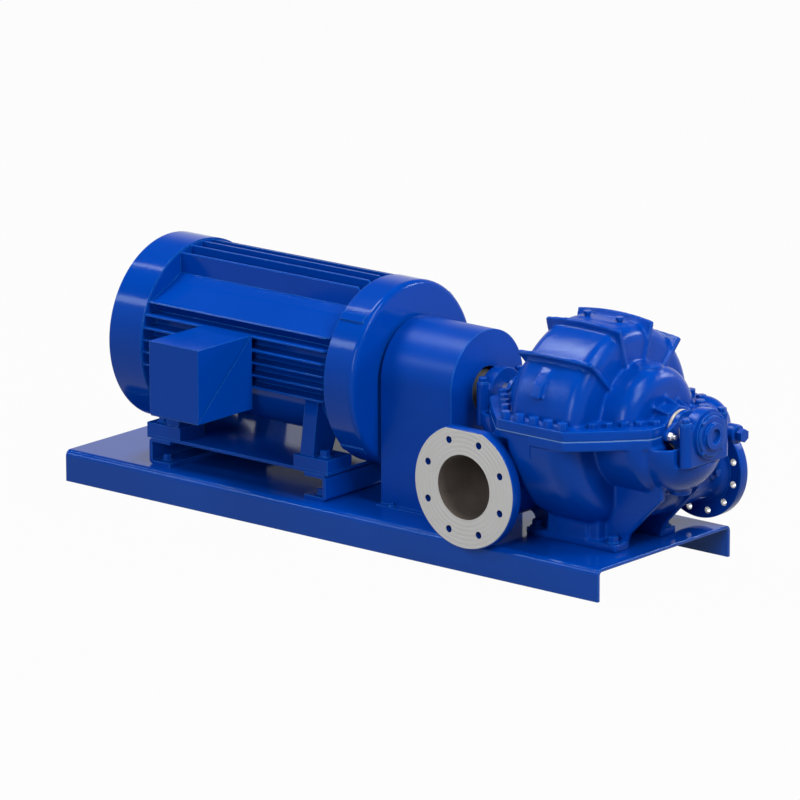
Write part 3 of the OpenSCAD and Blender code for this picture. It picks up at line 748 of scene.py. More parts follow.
@dataclass
class Hardware:
    """A set of like fasteners joined in one mesh.

    Attributes:
        name: Name of the piece.
        finish: Finish of the fasteners.
        slot: Material slot of the piece.
        body: Body that carries them.
        sides: Corners of round shapes.
        shape: Working mesh.
        count: Heads added so far.
    """

    name: str
    finish: Finish = SHEET_PAINT
    slot: Slot = Slot.PAINT
    body: Body = Body.FIXED
    sides: int = 28
    shape: BMesh = field(default_factory=bmesh.new)
    count: int = 0

    def hexagon(
        self, point: Vector, direction: Vector, flats: float, height: float, lift: float = 0.0
    ) -> None:
        """Adds a hexagon head or nut with a chamfered top.

        Args:
            point: Where its seat is.
            direction: Where its top faces.
            flats: Width across flats.
            height: Height of the hexagon.
            lift: Height of its foot above the point.
        """
        radius = flats / 2 / math.cos(math.pi / 6)
        top = lift + height
        where = Workshop.aim(point, direction, HEAD_TURN * self.count)
        self.count += 1
        rings = [(radius, lift), (radius, top - HEAD_CHAMFER * height), (HEAD_TOP * radius, top)]
        Workshop.stack(self.shape, where, rings, 6)

    def rod(self, point: Vector, direction: Vector, radius: float, length: float, chamfer: float) -> None:
        """Adds a round rod or a washer with a chamfered top.

        Args:
            point: Where its foot is.
            direction: Where its top faces.
            radius: Its radius.
            length: Its length.
            chamfer: Size of the chamfer.
        """
        rings = [(radius, 0.0), (radius, length - chamfer), (radius - chamfer, length)]
        Workshop.stack(self.shape, Workshop.aim(point, direction), rings, self.sides)

    def bolt(self, point: Vector, flats: float, washer_radius: float) -> None:
        """Adds an upright hexagon bolt on a washer.

        Args:
            point: Where the washer's seat is.
            flats: Width of the head across flats.
            washer_radius: Outer radius of the washer.
        """
        thickness = WASHER_HEIGHT * flats
        self.rod(point, UP, washer_radius, thickness, WASHER_CHAMFER * thickness)
        self.hexagon(point, UP, flats, HEAD_HEIGHT * flats, thickness)

    def four_bolts(self, centre: Vector, spread: Pair, size: Pair) -> None:
        """Adds an upright bolt at each corner of a rectangle.

        Args:
            centre: Middle of the rectangle.
            spread: Half its length and width, in millimetres.
            size: Width across flats and washer radius of the bolts, in metres.
        """
        along, across = spread
        for x in (-along, along):
            for y in (-across, across):
                self.bolt(centre + Vector((x, y, 0.0)) * MM, *size)

    def place(self) -> bpy.types.Object:
        """Stores the set as one piece."""
        mesh = Workshop.mesh(self.name, self.shape)
        return Workshop.place(self.name, mesh, self.finish, self.slot, self.body)


UP = Vector((0.0, 0.0, 1.0))
ALONG = Vector((1.0, 0.0, 0.0))


def dress(names: Iterable[str], finish: Finish) -> None:
    """Gives CAD nodes their finish.

    Args:
        names: Names of the nodes.
        finish: The finish that they take.
    """
    material = finish.build()
    for name in names:
        slots = NODES[name].material_slots
        for slot in slots:
            slot.material = material
        LOG.info("%s dressed in %s", name, finish.name)


def circle(
    radius: float, steps: int, centre: Vector = Vector((0.0, 0.0)), start: float = 0.0
) -> list[Vector]:
    """Points of a circle in a flat drawing.

    Args:
        radius: Radius of the circle.
        steps: Number of points.
        centre: Centre of the circle.
        start: Place of the first point, in steps.

    Returns:
        The points in order.
    """
    turns = [2 * math.pi * (i + start) / steps for i in range(steps)]
    return [centre + Vector((radius * math.cos(t), radius * math.sin(t))) for t in turns]


def rounded(corners: Sequence[Vector], radius: float, steps: int = 6) -> list[Vector]:
    """Closed outline with each of its corners turned into an arc.

    Args:
        corners: Corners of the outline in order.
        radius: Radius of the arcs.
        steps: Straight pieces of each arc.

    Returns:
        The points in order.
    """
    points = []
    for before, corner, after in zip([corners[-1], *corners], corners, [*corners[1:], corners[0]]):
        into = (before - corner).normalized()
        out = (after - corner).normalized()
        half = into.angle(out) / 2
        trim = radius / math.tan(half)
        centre = corner + (into + out).normalized() * radius / math.sin(half)
        first = corner + into * trim - centre
        sweep = first.angle_signed(corner + out * trim - centre)
        turns = [-sweep * i / steps for i in range(steps + 1)]
        points += [centre + Matrix.Rotation(turn, 2) @ first for turn in turns]
    return points


@dataclass
class Nozzle:
    """A flanged nozzle of the pump, built round its mounts in the record.

    Attributes:
        name: Name of the nozzle.
        outer: Outer radius of its flange, in metres.
        neck: Radius of the neck behind the flange.
        flat: Height of the flat cut on the flange above its centre, or None.
        bright_holes: Whether the bolt holes were drilled after painting.
        thickness: Thickness of its flange.
        face_step: How far the machined face stands proud.
        edge: Rounding of the flange's edges.
        hole_wall: Thickness of the bare metal shown in drilled holes.
        liner_gap: Distance of the bore's dark wall from the bore.
        lap: How far the face and the dark wall reach over the bore's edge.
        fillet: Radius of the cove behind the flange.
        fillet_sink: How deep the cove's ring lies in the neck.
        trim_share: Reach of the box that cuts the flange off the skin, as a share of its radius.
    """

    name: str
    outer: float
    neck: float
    flat: float | None = None
    bright_holes: bool = False
    thickness: float = 0.035
    face_step: float = 0.0012
    edge: float = 0.0016
    hole_wall: float = 0.0008
    liner_gap: float = 0.0012
    lap: float = 0.0005
    fillet: float = 0.024
    fillet_sink: float = 0.004
    trim_share: float = 1.2

    def _mount(self, part: str) -> dict:
        """Mount of the record that belongs to this nozzle."""
        wanted = f"{self.name}_{part}"
        return next(mount for mount in RECORD["mounts"] if mount["name"] == wanted)

    @property
    def face(self) -> Vector:
        """Middle of the flange's face."""
        return Vector(self._mount("bore")["pos_m"])

    @property
    def outward(self) -> Vector:
        """Direction in which the nozzle faces."""
        return Vector(self._mount("bore")["axis"])

    def _outline(self, radius: float, steps: int = 144) -> list[Vector]:
        """Outline of the flange with its flat, if it has one.

        Args:
            radius: Radius of the round part.
            steps: Points of a whole circle.

        Returns:
            The points in order.
        """
        points = circle(radius, steps)
        if self.flat is None:
            return points
        level = self.flat - (self.outer - radius)
        reach = math.sqrt(radius * radius - level * level)
        right = [point for point in points[: steps // 4] if point[1] < level]
        rest = [point for point in points[steps // 4 :] if point[1] < level]
        return right + [Vector((reach, level)), Vector((-reach, level))] + rest

    def _hole_centres(self) -> list[Vector]:
        """Centres of the bolt holes in the flange's plane, astride the centre lines."""
        dims = self._mount("bolts")["dims"]
        return circle(dims["pcd_mm"] * MM / 2, int(dims["count"]), start=0.5)

    @property
    def _hole_radius(self) -> float:
        """Radius of the bolt holes."""
        return self._mount("bolts")["dims"]["hole_r_mm"] * MM

    def _drilled(self) -> None:
        """Bare metal walls of bolt holes that were drilled after painting."""
        shape = bmesh.new()
        radius = self._hole_radius
        inner = radius - self.hole_wall
        rings = [(radius, 0.0), (radius, self.thickness), (inner, self.thickness), (inner, 0.0)]
        for centre in self._hole_centres():
            point = self.face + Vector((centre[0], 0.0, centre[1]))
            Workshop.tube(shape, Workshop.aim(point, -self.outward), rings, HOLE_SIDES, True)
        mesh = Workshop.mesh(self.name + "_hole_walls", shape)
        Workshop.place(self.name + "_hole_walls", mesh, BARE_STEEL, Slot.STEEL)

    def trim_box(self) -> tuple[Vector, Vector]:
        """Box that holds the flange, for cutting it off the casting's skin.

        Returns:
            Its low and high corners.
        """
        back = self.face - self.outward * self.thickness
        front = self.face + self.outward * self.thickness
        reach = self.trim_share * self.outer
        side = Vector((reach, 0.0, reach))
        low = Vector(map(min, back, front)) - side
        high = Vector(map(max, back, front)) + side
        return low, high

    def build(self) -> None:
        """Builds the flange, its machined face, the bore and the fillet of the neck."""
        bore = self._mount("bore")["dims"]["r_mm"] * MM
        holes = [circle(self._hole_radius, HOLE_SIDES, centre) for centre in self._hole_centres()]
        middle = self.face - self.outward * self.thickness / 2
        outlines = [self._outline(self.outer), circle(bore, ROUND_SIDES), *holes]
        flange = Workshop.plate(self.name + "_flange", outlines, self.thickness, self.edge)
        Workshop.place(self.name + "_flange", flange, CAST_PAINT, Slot.CAST, origin=middle)
        machined = Workshop.plate(
            self.name + "_face",
            [self._outline(self.outer - 2 * self.edge), circle(bore - self.lap, ROUND_SIDES), *holes],
            2 * self.face_step,
            0.3 * self.face_step,
        )
        Workshop.place(self.name + "_face", machined, FLANGE_FACE, Slot.STEEL, origin=self.face)
        self._liner(bore)
        self._fillet()
        if self.bright_holes:
            self._drilled()

    def _liner(self, bore: float) -> None:
        """Dark inner wall of the nozzle, down to its rounded end.

        Args:
            bore: Radius of the bore.
        """
        depth = self._mount("bore")["dims"]["length_mm"] * MM
        radius = bore - self.liner_gap
        rings = [(radius, self.lap), (radius, -depth)]
        steps = 12
        for i in range(1, steps):
            turn = math.pi / 2 * i / steps
            rings.append((radius * math.cos(turn), -depth - radius * math.sin(turn)))
        shape = bmesh.new()
        Workshop.tube(shape, Workshop.aim(self.face, self.outward), rings, ROUND_SIDES)
        mesh = bpy.data.meshes.new(self.name + "_bore")
        shape.to_mesh(mesh)
        shape.free()
        Workshop.place(self.name + "_bore", mesh, BORE_IRON, Slot.CAST)

    def _fillet(self, steps: int = 8) -> None:
        """Coved ring where the neck runs into the flange's back.

        Args:
            steps: Straight pieces of the cove.
        """
        name = self.name + "_fillet"
        back = -self.thickness
        reach = self.fillet
        inner = self.neck - self.fillet_sink
        front = back + self.fillet_sink / 2
        rings = [(inner, front), (self.neck + reach, front)]
        for i in range(steps + 1):
            turn = math.pi / 2 * i / steps
            rings.append((self.neck + reach * (1 - math.sin(turn)), back - reach * (1 - math.cos(turn))))
        rings.append((inner, back - reach))
        shape = bmesh.new()
        Workshop.tube(shape, Workshop.aim(self.face, self.outward), rings, ROUND_SIDES, True)
        Workshop.place(name, Workshop.mesh(name, shape), CAST_PAINT, Slot.CAST)


@dataclass(frozen=True)
class BoltRun:
    """A straight run of parting bolts.

    Attributes:
        start: First bolt, in millimetres from the pump centre.
        stop: Last bolt.
        count: Number of bolts.
        height: Height of their heads, in metres.
    """

    start: Pair
    stop: Pair
    count: int
    height: float

    def spots(self) -> list[Vector]:
        """Places of the bolts in plan."""
        first, last = Vector(self.start), Vector(self.stop)
        return [first.lerp(last, i / (self.count - 1)) for i in range(self.count)]


@dataclass
class PumpCasing:
    """The split casing with its parting bolts, feet bolts and nozzles.

    Attributes:
        voxel: Grid size of the castings' skins.
        rounds: Rounds of smoothing of the skins.
        parting: Outboard half of the parting flange's outline, in millimetres from the pump centre.
        parting_window: Where the flange's ends are cut back, along and across the shaft.
        parting_corner: Rounding of that outline.
        parting_top: Height of the upper flange above the shaft line.
        seam_inset: How far the pale seam plate lies inside the flange's edge.
        seam_t: Height of that line.
        seam_rounding: Rounding of its edges, in metres.
        runs: Runs of parting bolts.
        bolt_flats: Width of the parting bolts across flats, in metres.
        bolt_sink: How deep their heads sit in the flange.
        elbow: Middle of the swelling over the discharge elbow.
        elbow_radii: Its three radii.
        crown: Radius, half width, shoulder rounding and crowning of the volute's barrel.
        crown_fwd: Shift of the barrel towards the suction side.
        foot: Place of one foot bolt; the others mirror it.
        foot_bolt: Width across flats and washer radius of the foot bolts, in metres.
        nozzles: The two nozzles.
    """

    voxel: float = 0.0042
    rounds: int = 2
    parting: tuple[Pair, ...] = (
        (127.0, -342.0), (214.0, -256.0), (308.0, -152.0), (308.0, 152.0), (225.0, 235.0), (40.0, 330.0),
    )
    parting_window: Pair = (294.0, 88.0)
    parting_corner: float = 26.0
    parting_top: float = 31.0
    seam_inset: float = 0.8
    seam_t: float = 4.0
    seam_rounding: float = 0.0006
    runs: tuple[BoltRun, ...] = (
        BoltRun((-108.0, -321.0), (108.0, -321.0), 5, 0.024),
        BoltRun((157.0, -242.0), (282.0, -100.0), 5, 0.016),
        BoltRun((-157.0, -262.0), (-275.0, -125.0), 4, 0.024),
        BoltRun((70.0, 293.0), (205.0, 222.0), 3, 0.016),
        BoltRun((240.0, 172.0), (282.0, 132.0), 2, 0.016),
        BoltRun((-70.0, 293.0), (-205.0, 222.0), 3, 0.016),
        BoltRun((-240.0, 172.0), (-282.0, 132.0), 2, 0.016),
    )
    elbow: tuple[float, float, float] = (217.0, 225.0, -43.0)
    elbow_radii: tuple[float, float, float] = (86.0, 64.0, 86.0)
    crown: tuple[float, float, float, float] = (289.0, 131.0, 46.0, 2.0)
    crown_fwd: float = 10.0
    bolt_flats: float = 0.028
    bolt_sink: float = 1.0
    foot: tuple[float, float, float] = (144.0, 124.0, -351.0)
    foot_bolt: Pair = (0.03, 0.022)
    nozzles: tuple[Nozzle, ...] = (
        Nozzle("suction", 0.1905, 0.127, flat=0.177),
        Nozzle("discharge", 0.159, 0.097, bright_holes=True),
    )

    def build(self) -> None:
        """Builds the castings, nozzles and bolts."""
        trims = [nozzle.trim_box() for nozzle in self.nozzles]
        upper = [self._elbow(True), self._crown()]
        Workshop.cast_skin("upper_casing_skin", ["upper_casing"], self.voxel, self.rounds, (), upper)
        lower = [self._elbow(False)]
        Workshop.cast_skin("lower_casing_skin", ["lower_casing"], self.voxel, self.rounds, trims, lower)
        for nozzle in self.nozzles:
            nozzle.build()
        dress(["vent_plugs", "nozzle_plugs"], CAST_PAINT)
        self._seam()
        self._parting_bolts()
        self._foot_bolts()

    def _elbow(self, upper: bool) -> bpy.types.Mesh:
        """Rounded swelling over the discharge elbow.

        Args:
            upper: Whether it is the part above the parting plane.

        Returns:
            The mesh.
        """
        shape = bmesh.new()
        stretch = Matrix.Diagonal((*(Vector(self.elbow_radii) * MM), 1.0))
        where = Matrix.Translation(at_pump(*self.elbow)) @ stretch
        bmesh.ops.create_uvsphere(shape, u_segments=48, v_segments=24, radius=1.0, matrix=where)
        return Workshop.halved("elbow", shape, PUMP.z, upper)

    def _crown(self) -> bpy.types.Mesh:
        """Crowned and well rounded barrel of the volute, above the parting flange.

        Returns:
            The mesh.
        """
        radius, half, corner, fall = self.crown
        side = half - corner
        steps = 10
        turns = [math.pi / 2 * i / steps for i in range(steps, -1, -1)]
        end = [(radius - fall - corner + corner * math.cos(t), side + corner * math.sin(t)) for t in turns]
        rings = [(r, -x) for r, x in end] + [(radius, 0.0)] + [(r, x) for r, x in reversed(end)]
        rings = [(r * MM, x * MM) for r, x in rings]
        shape = bmesh.new()
        where = Workshop.aim(at_pump(0.0, -self.crown_fwd, 0.0), ALONG)
        Workshop.stack(shape, where, rings, sides=120)
        return Workshop.halved("crown", shape, PUMP.z + self.parting_top / 2 * MM, True)

    def _seam(self) -> None:
        """Thin plate between the two flanges, whose paler blue is a painted highlight along the parting line."""
        half = [Vector(corner) for corner in self.parting]
        corners = half + [Vector((-corner[0], corner[1])) for corner in reversed(half)]
        share = 1.0 - self.seam_inset / abs(self.parting[0][1])
        outline = [point * share for point in rounded(corners, self.parting_corner)]
        end, side = self.parting_window
        loop = []
        for point, after in zip(outline, [*outline[1:], outline[0]]):
            loop.append(point)
            if abs(point[0]) > end and point[1] * after[1] < 0:
                sx, sy = math.copysign(1.0, point[0]), math.copysign(1.0, point[1])
                loop += [Vector((point[0], sy * side)), Vector((sx * end, sy * side))]
                loop += [Vector((sx * end, -sy * side)), Vector((point[0], -sy * side))]
        loop = [point * MM for point in loop]
        mesh = Workshop.plate("parting_seam", [loop], self.seam_t * MM, self.seam_rounding, upright=False)
        Workshop.place("parting_seam", mesh, SEAM_HIGHLIGHT_PAINT, Slot.CAST, origin=PUMP)

    def _parting_bolts(self) -> None:
        """Hexagon heads along the parting flange."""
        bolts = Hardware("parting_bolts", CAST_PAINT, Slot.CAST)
        for run in self.runs:
            for spot in run.spots():
                seat = at_pump(spot[0], spot[1], self.parting_top - self.bolt_sink)
                bolts.hexagon(seat, UP, self.bolt_flats, run.height)
        bolts.place()

    def _foot_bolts(self) -> None:
        """Bolts and washers at both ends of each pump foot."""
        bolts = Hardware("pump_foot_bolts")
        along, across, top = self.foot
        bolts.four_bolts(at_pump(0.0, 0.0, top), (along, across), self.foot_bolt)
        bolts.place()


@dataclass
class BearingEnd:
    """Bearing block, cap, cover and gland at one end of the pump.

    Attributes:
        end: Which end of the pump.
        block_in: Distance of the block from the pump centre, in millimetres.
        block_t: Thickness of the block.
        bolt_y: Half distance between the cap bolts.
        boss_top: Height of the cap's bosses above the shaft line.
        gland_x: Distance of the gland's inner face from the pump centre.
        gland_t: Thickness of the gland.
        stud_y: Half distance between the gland studs.
        casing_end: Distance of the casing's machined end from the pump centre.
        rim: Inner and outer radius of the stuffing box's bare rim, in metres.
        rim_span: Where that rim starts and stops along the shaft, in metres.
        rim_edge: Chamfer of the rim, in metres.
        skin: Grid size of the housing's skin, in metres, and its rounds of smoothing.
        cap_bolt: Width across flats and washer radius of the cap bolts, in metres.
        screw_reach: Distance of the cover's screws from the shaft line.
        screw_face: Distance of their seats from the block.
        screw: Width across flats and height of the screws, in metres.
        stud: Radius and length of the studs, in metres.
        stud_sink: How deep the studs sit in the casing.
        nut: Width across flats and height of the nuts, in metres.
        nut_sink: How deep the inner nuts sit in the casing.
    """

    end: End
    block_in: float = 366.0
    block_t: float = 40.0
    bolt_y: float = 88.0
    boss_top: float = 46.0
    gland_x: float = 310.0
    gland_t: float = 14.0
    stud_y: float = 86.0
    casing_end: float = 296.0
    rim: Pair = (0.0555, 0.061)
    rim_span: Pair = (-0.001, 0.007)
    rim_edge: float = 0.001
    skin: tuple[float, int] = (0.003, 2)
    cap_bolt: Pair = (0.024, 0.017)
    screw_reach: float = 64.5
    screw_face: float = 9.0
    screw: Pair = (0.01, 0.006)
    stud: Pair = (0.0075, 0.062)
    stud_sink: float = 8.0
    nut: Pair = (0.023, 0.013)
    nut_sink: float = 2.0

    def build(self) -> None:
        """Builds this end's castings and fasteners."""
        word = self.end.word
        housing = [f"{word}_bearing_block", f"{word}_bearing_cap"]
        Workshop.cast_skin(f"{word}_bearing_housing", housing, *self.skin)
        dress([f"{word}_bearing_cover", f"{word}_gland"], CAST_PAINT)
        dress([f"{word}_sleeve"], BARE_STEEL)
        self._cap_bolts()
        self._cover_screws()
        self._gland_studs()
        self._box_rim()

    def _along(self, x: float) -> float:
        """Signed distance along the shaft."""
        return self.end.value * x

    def _cap_bolts(self) -> None:
        """Bolts that hold the bearing cap down."""
        bolts = Hardware(f"{self.end.word}_cap_bolts", CAST_PAINT, Slot.CAST)
        for y in (-self.bolt_y, self.bolt_y):
            point = at_pump(self._along(self.block_in + self.block_t / 2), y, self.boss_top)
            bolts.bolt(point, *self.cap_bolt)
        bolts.place()

    def _cover_screws(self) -> None:
        """Small screws round the bearing cover."""
        screws = Hardware(f"{self.end.word}_cover_screws", CAST_PAINT, Slot.CAST)
        outward = ALONG * self.end.value
        face = self._along(self.block_in + self.block_t + self.screw_face)
        for spot in circle(self.screw_reach, 4, start=0.5):
            screws.hexagon(at_pump(face, *spot), outward, *self.screw)
        screws.place()

    def _gland_studs(self) -> None:
        """Steel studs and nuts that draw the gland in."""
        studs = Hardware(f"{self.end.word}_gland_studs", BARE_STEEL, Slot.STEEL)
        outward = ALONG * self.end.value
        for y in (-self.stud_y, self.stud_y):
            root = self._along(self.casing_end - self.stud_sink)
            studs.rod(at_pump(root, y, 0.0), outward, *self.stud, TIP_CHAMFER * self.stud[0])
            for x in (self.casing_end - self.nut_sink, self.gland_x + self.gland_t):
                studs.hexagon(at_pump(self._along(x), y, 0.0), outward, *self.nut)
        studs.place()

    def _box_rim(self) -> None:
        """Bare machined rim at the mouth of the stuffing box."""
        inner, outer = self.rim
        start, stop = self.rim_span
        edge = self.rim_edge
        shape = bmesh.new()
        rings = [(inner, start), (outer, start), (outer, stop - edge), (outer - edge, stop), (inner, stop)]
        where = Workshop.aim(at_pump(self._along(self.casing_end), 0.0, 0.0), ALONG * self.end.value)
        Workshop.tube(shape, where, rings, sides=64, closed=True)
        name = f"{self.end.word}_box_rim"
        Workshop.place(name, Workshop.mesh(name, shape), MACHINED_RIM, Slot.STEEL)


@dataclass
class Motor:
    """The finned motor with its bracket, fan cover, terminal box and stand.

    Attributes:
        foot_span: Spacing of the foot bolts along and across the shaft, in millimetres.
        foot_thickness: Thickness of the feet.
        leg_end: Distance of the legs' outer faces from the middle of the motor.
        leg_cut: How far those faces are set back beside the foot bolts.
        leg_slack: How near a corner has to be to count as on a leg's outer face.
        foot_bolt: Width across flats and washer radius of the foot bolts, in metres.
        flange_thickness: Thickness of the stand channels' flanges.
        stand_bolt: Width across flats and washer radius of the stand bolts, in metres.
        stand_inset: Distance of the stand bolts from the channel's edges, in metres.
    """

    foot_span: Pair = (656.0, 468.0)
    foot_thickness: float = 38.0
    leg_end: float = 352.0
    leg_cut: float = 52.0
    leg_slack: float = 0.6
    foot_bolt: Pair = (0.03, 0.022)
    flange_thickness: float = 12.0
    stand_bolt: Pair = (0.024, 0.018)
    stand_inset: Pair = (0.04, 0.035)

    def build(self) -> None:
        """Dresses the motor's nodes and adds their fasteners."""
        self._frame()
        dress(["drive_end_bracket", "fan_cover", "terminal_box", "terminal_box_cover"], SHEET_PAINT)
        dress(["motor_stand_plate", "stand_channel_rear", "stand_channel_front"], SHEET_PAINT)
        dress(["cooling_fan"], FAN_PLASTIC)
        dress(["motor_shaft", "pump_shaft"], BARE_STEEL)
        self._foot_bolts()
        self._stand_bolts()

    @property
    def centre(self) -> Vector:
        """Middle of the stand on its top face."""
        low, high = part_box("motor_stand_plate")
        return Vector(((low.x + high.x) / 2, (low.y + high.y) / 2, high.z))

    def _frame(self) -> None:
        """Motor frame with narrower legs, which leave room for the foot bolts."""
        mesh = NODES["motor_frame"].data.copy()
        moved = 0
        for corner in mesh.vertices:
            offset = corner.co.x - self.centre.x
            if abs(abs(offset) - self.leg_end * MM) < self.leg_slack * MM:
                corner.co.x -= math.copysign(self.leg_cut * MM, offset)
                moved += 1
        LOG.info("motor legs: %d corners set back", moved)
        piece = Workshop.place("motor_frame_skin", mesh, SHEET_PAINT, Slot.PAINT)
        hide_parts("motor_frame")

    def _foot_bolts(self) -> None:
        """Bolts and washers on the four feet."""
        bolts = Hardware("motor_foot_bolts")
        along, across = self.foot_span
        seat = self.centre + UP * self.foot_thickness * MM
        bolts.four_bolts(seat, (along / 2, across / 2), self.foot_bolt)
        bolts.place()

    def _stand_bolts(self) -> None:
        """Bolts that hold the stand channels to the base plate."""
        bolts = Hardware("stand_bolts")
        for node in ("stand_channel_rear", "stand_channel_front"):
            low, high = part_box(node)
            along, across = self.stand_inset
            x = high.x - along if node.endswith("rear") else low.x + along
            for y in (low.y + across, high.y - across):
                seat = Vector((x, y, low.z + self.flange_thickness * MM))
                bolts.bolt(seat, *self.stand_bolt)
        bolts.place()


@dataclass
class CouplingGuard:
    """The sheet guard over the coupling and what turns inside it.

    Attributes:
        foot: Distance of the bolts from the edges of the guard's feet, in metres.
        foot_t: Thickness of the feet.
        inset: Distance of the bolts from the guard's ends.
        bolt: Width across flats and washer radius of the bolts.
    """

    foot: float = 0.012
    foot_t: float = 0.004
    inset: float = 0.05
    bolt: Pair = (0.016, 0.012)

    def build(self) -> None:
        """Dresses the guard and the coupling, and bolts the guard down."""
        dress(["coupling_guard", "guard_end_plate"], SATIN_PAINT)
        dress(["motor_hub", "pump_hub"], HUB_IRON)
        dress(["coupling_insert"], INSERT_RUBBER)
        low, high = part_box("coupling_guard")
        bolts = Hardware("guard_bolts")
        for x in (low.x + self.inset, high.x - self.inset):
            for y in (low.y + self.foot, high.y - self.foot):
                bolts.bolt(Vector((x, y, low.z + self.foot_t)), *self.bolt)
        bolts.place()


@dataclass
class BasePlate:
    """The folded base plate."""

    def build(self) -> None:
        """Dresses the base plate."""
        dress(["base_plate"], BASE_PAINT)


@dataclass
class Lamp:
    """A soft rectangular lamp aimed at the set.

    Attributes:
        name: Name of the lamp.
        azimuth: Direction that it shines from, in degrees as the camera's.
        elevation: Height that it shines from, in degrees.
        distance: Distance from the set's middle, in metres.
        size: Width and height.
        power: Power in watts.
        along_shaft: Whether its width runs along the shaft.
    """

    name: str
    azimuth: float
    elevation: float
    distance: float
    size: Pair
    power: float
    along_shaft: bool = False

    def build(self, target: Vector) -> None:
        """Hangs the lamp.

        Args:
            target: Point that it faces.
        """
        light = bpy.data.lights.new(self.name, "AREA")
        light.shape = "RECTANGLE"
        light.size, light.size_y = self.size
        light.energy = self.power
        lamp = bpy.data.objects.new(self.name, light)
        back = Studio.direction(self.azimuth, self.elevation)
        lamp.location = target + back * self.distance
        if self.along_shaft:
            lamp.rotation_euler = (math.atan2(-back.y, back.z), 0.0, 0.0)
        else:
            lamp.rotation_euler = back.to_track_quat("Z", "Y").to_euler()
        bpy.context.scene.collection.objects.link(lamp)


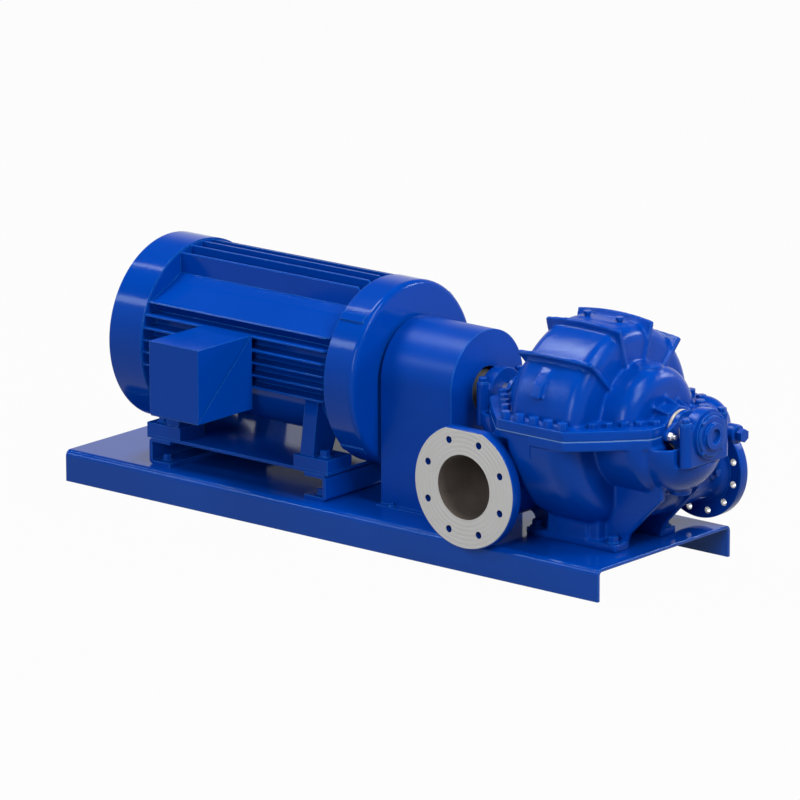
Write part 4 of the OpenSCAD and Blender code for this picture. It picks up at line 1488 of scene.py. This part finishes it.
@dataclass
class Studio:
    """Floor, lamps, world and camera.

    Attributes:
        azimuth: The photograph's viewing direction, in degrees.
        elevation: The photograph's viewing height, in degrees.
        roll: Roll of the camera, in degrees.
        distance: Distance of the camera from its target, in metres.
        focal_px: Focal length in pixels of the square picture.
        target: Point in the middle of the picture.
        floor_size: Length of the floor's sides, in metres.
        floor_tone: Grey of the floor's matte part.
        floor_white: Share of plain white where the floor is looked at.
        room_tint: Colour of the room light.
        room_light: Strength of the room light.
        backdrop: Height where the white backdrop starts and ends to fade, and its two strengths.
        lamps: The lamps.
    """

    azimuth: float = 39.984
    elevation: float = 14.781
    roll: float = -0.13
    distance: float = 21.592
    focal_px: float = 7056.0
    target: Vector = field(default_factory=lambda: at_pump(-785.0, 0.0, -92.1))
    floor_size: float = 160.0
    floor_tone: Colour = (0.25, 0.25, 0.25, 1.0)
    floor_white: float = 0.97
    room_tint: Colour = (0.9, 0.95, 1.0, 1.0)
    room_light: float = 0.14
    backdrop: tuple[float, float, float, float] = (0.3, 0.55, 1.0, 0.12)
    lamps: tuple[Lamp, ...] = (
        Lamp("key_softbox", -86.0, 65.0, 4.9, (1.4, 1.2), 100.0),
        Lamp("long_strip", -80.0, 50.0, 3.65, (3.4, 0.12), 24.0, along_shaft=True),
        Lamp("left_strip", -45.0, 28.0, 5.0, (3.0, 0.5), 60.0, along_shaft=True),
        Lamp("front_strip", 23.0, 20.0, 5.0, (0.6, 1.8), 90.0),
        Lamp("end_softbox", 82.0, 36.0, 5.0, (1.6, 1.6), 105.0),
        Lamp("dome_softbox", 86.0, 54.0, 3.9, (1.0, 0.8), 50.0),
        Lamp("back_right_softbox", 143.0, 24.0, 5.0, (1.1, 1.0), 85.0),
    )

    @staticmethod
    def direction(azimuth: float, elevation: float) -> Vector:
        """Unit vector from the set towards a viewer.

        Args:
            azimuth: 0 looks along +Y, 90 along -X, in degrees.
            elevation: Height above the horizon, in degrees.

        Returns:
            The direction.
        """
        a, e = math.radians(azimuth), math.radians(elevation)
        return Vector((math.sin(a) * math.cos(e), -math.cos(a) * math.cos(e), math.sin(e)))

    def build(self) -> None:
        """Builds the whole studio."""
        scene = bpy.context.scene
        scene.view_settings.view_transform = "Standard"
        self._floor()
        self._world()
        for lamp in self.lamps:
            lamp.build(self.target)
        self._camera()

    def _floor(self) -> None:
        """Plain pale floor that shows white to the eye and keeps a soft shadow."""
        shape = bmesh.new()
        bmesh.ops.create_grid(shape, x_segments=2, y_segments=2, size=self.floor_size / 2)
        floor = bpy.data.objects.new("floor", Workshop.mesh("floor", shape))
        bpy.context.scene.collection.objects.link(floor)
        floor.data.materials.append(self._floor_material())

    @staticmethod
    def _seen(bench: NodeBench) -> Socket:
        """One where the background is looked at, directly or in a reflection.

        Args:
            bench: Helper for the tree.

        Returns:
            The socket.
        """
        path = bench.add("ShaderNodeLightPath")
        seen = bench.math("MAXIMUM", path.outputs["Is Camera Ray"], path.outputs["Is Glossy Ray"])
        return bench.math("MAXIMUM", seen, path.outputs["Is Transmission Ray"])

    def _floor_material(self) -> bpy.types.Material:
        """White floor, mostly shadeless to the eye.

        Returns:
            The material.
        """
        material = bpy.data.materials.new("studio_floor")
        material.use_nodes = True
        bench = NodeBench(material.node_tree)
        material.node_tree.nodes.remove(material.node_tree.nodes["Principled BSDF"])
        matte = bench.add("ShaderNodeBsdfDiffuse")
        matte.inputs["Color"].default_value = self.floor_tone
        glow = bench.add("ShaderNodeEmission")
        glow.inputs["Strength"].default_value = 1.0
        mix = bench.add("ShaderNodeMixShader")
        bench.link(bench.math("MULTIPLY", self._seen(bench), self.floor_white), mix.inputs["Fac"])
        bench.link(matte.outputs[0], mix.inputs[1])
        bench.link(glow.outputs[0], mix.inputs[2])
        bench.link(mix.outputs[0], material.node_tree.nodes["Material Output"].inputs["Surface"])
        return material

    def _world(self) -> None:
        """Soft grey room light; in reflections, a low white backdrop under a dark ceiling."""
        world = bpy.data.worlds.new("studio_world")
        bpy.context.scene.world = world
        world.use_nodes = True
        bench = NodeBench(world.node_tree)
        room = world.node_tree.nodes["Background"]
        room.inputs["Color"].default_value = self.room_tint
        room.inputs["Strength"].default_value = self.room_light
        white = bench.add("ShaderNodeBackground")
        height = bench.add("ShaderNodeSeparateXYZ")
        bench.link(bench.add("ShaderNodeTexCoord").outputs["Generated"], height.inputs[0])
        fade = bench.add("ShaderNodeMapRange")
        for label, value in zip(("From Min", "From Max", "To Min", "To Max"), self.backdrop):
            fade.inputs[label].default_value = value
        bench.link(height.outputs["Z"], fade.inputs["Value"])
        bench.link(fade.outputs["Result"], white.inputs["Strength"])
        mix = bench.add("ShaderNodeMixShader")
        bench.link(self._seen(bench), mix.inputs["Fac"])
        bench.link(room.outputs[0], mix.inputs[1])
        bench.link(white.outputs[0], mix.inputs[2])
        bench.link(mix.outputs[0], world.node_tree.nodes["World Output"].inputs["Surface"])

    def _camera(self) -> None:
        """Camera that was fitted to the photograph's flanges, base edges and shaft line."""
        data = bpy.data.cameras.new("camera")
        data.sensor_width = SENSOR_MM
        data.lens = self.focal_px / IMAGE_PX * SENSOR_MM
        data.clip_end = 200.0
        camera = bpy.data.objects.new("camera", data)
        back = self.direction(self.azimuth, self.elevation)
        a = math.radians(self.azimuth)
        right = Vector((math.cos(a), math.sin(a), 0.0))
        up = back.cross(right)
        r = math.radians(self.roll)
        right, up = right * math.cos(r) + up * math.sin(r), up * math.cos(r) - right * math.sin(r)
        turn = Matrix((right, up, back)).transposed().to_4x4()
        camera.matrix_world = Matrix.Translation(self.target + back * self.distance) @ turn
        bpy.context.scene.collection.objects.link(camera)
        bpy.context.scene.camera = camera


def main() -> None:
    """Builds every sub-assembly in order."""
    logging.basicConfig(level=logging.INFO, format="%(name)s: %(message)s")
    Studio().build()
    for assembly in (
        BasePlate(),
        Motor(),
        CouplingGuard(),
        PumpCasing(),
        BearingEnd(End.INBOARD),
        BearingEnd(End.OUTBOARD),
    ):
        LOG.info("building %s", type(assembly).__name__)
        assembly.build()


if __name__ == "__main__":
    main()
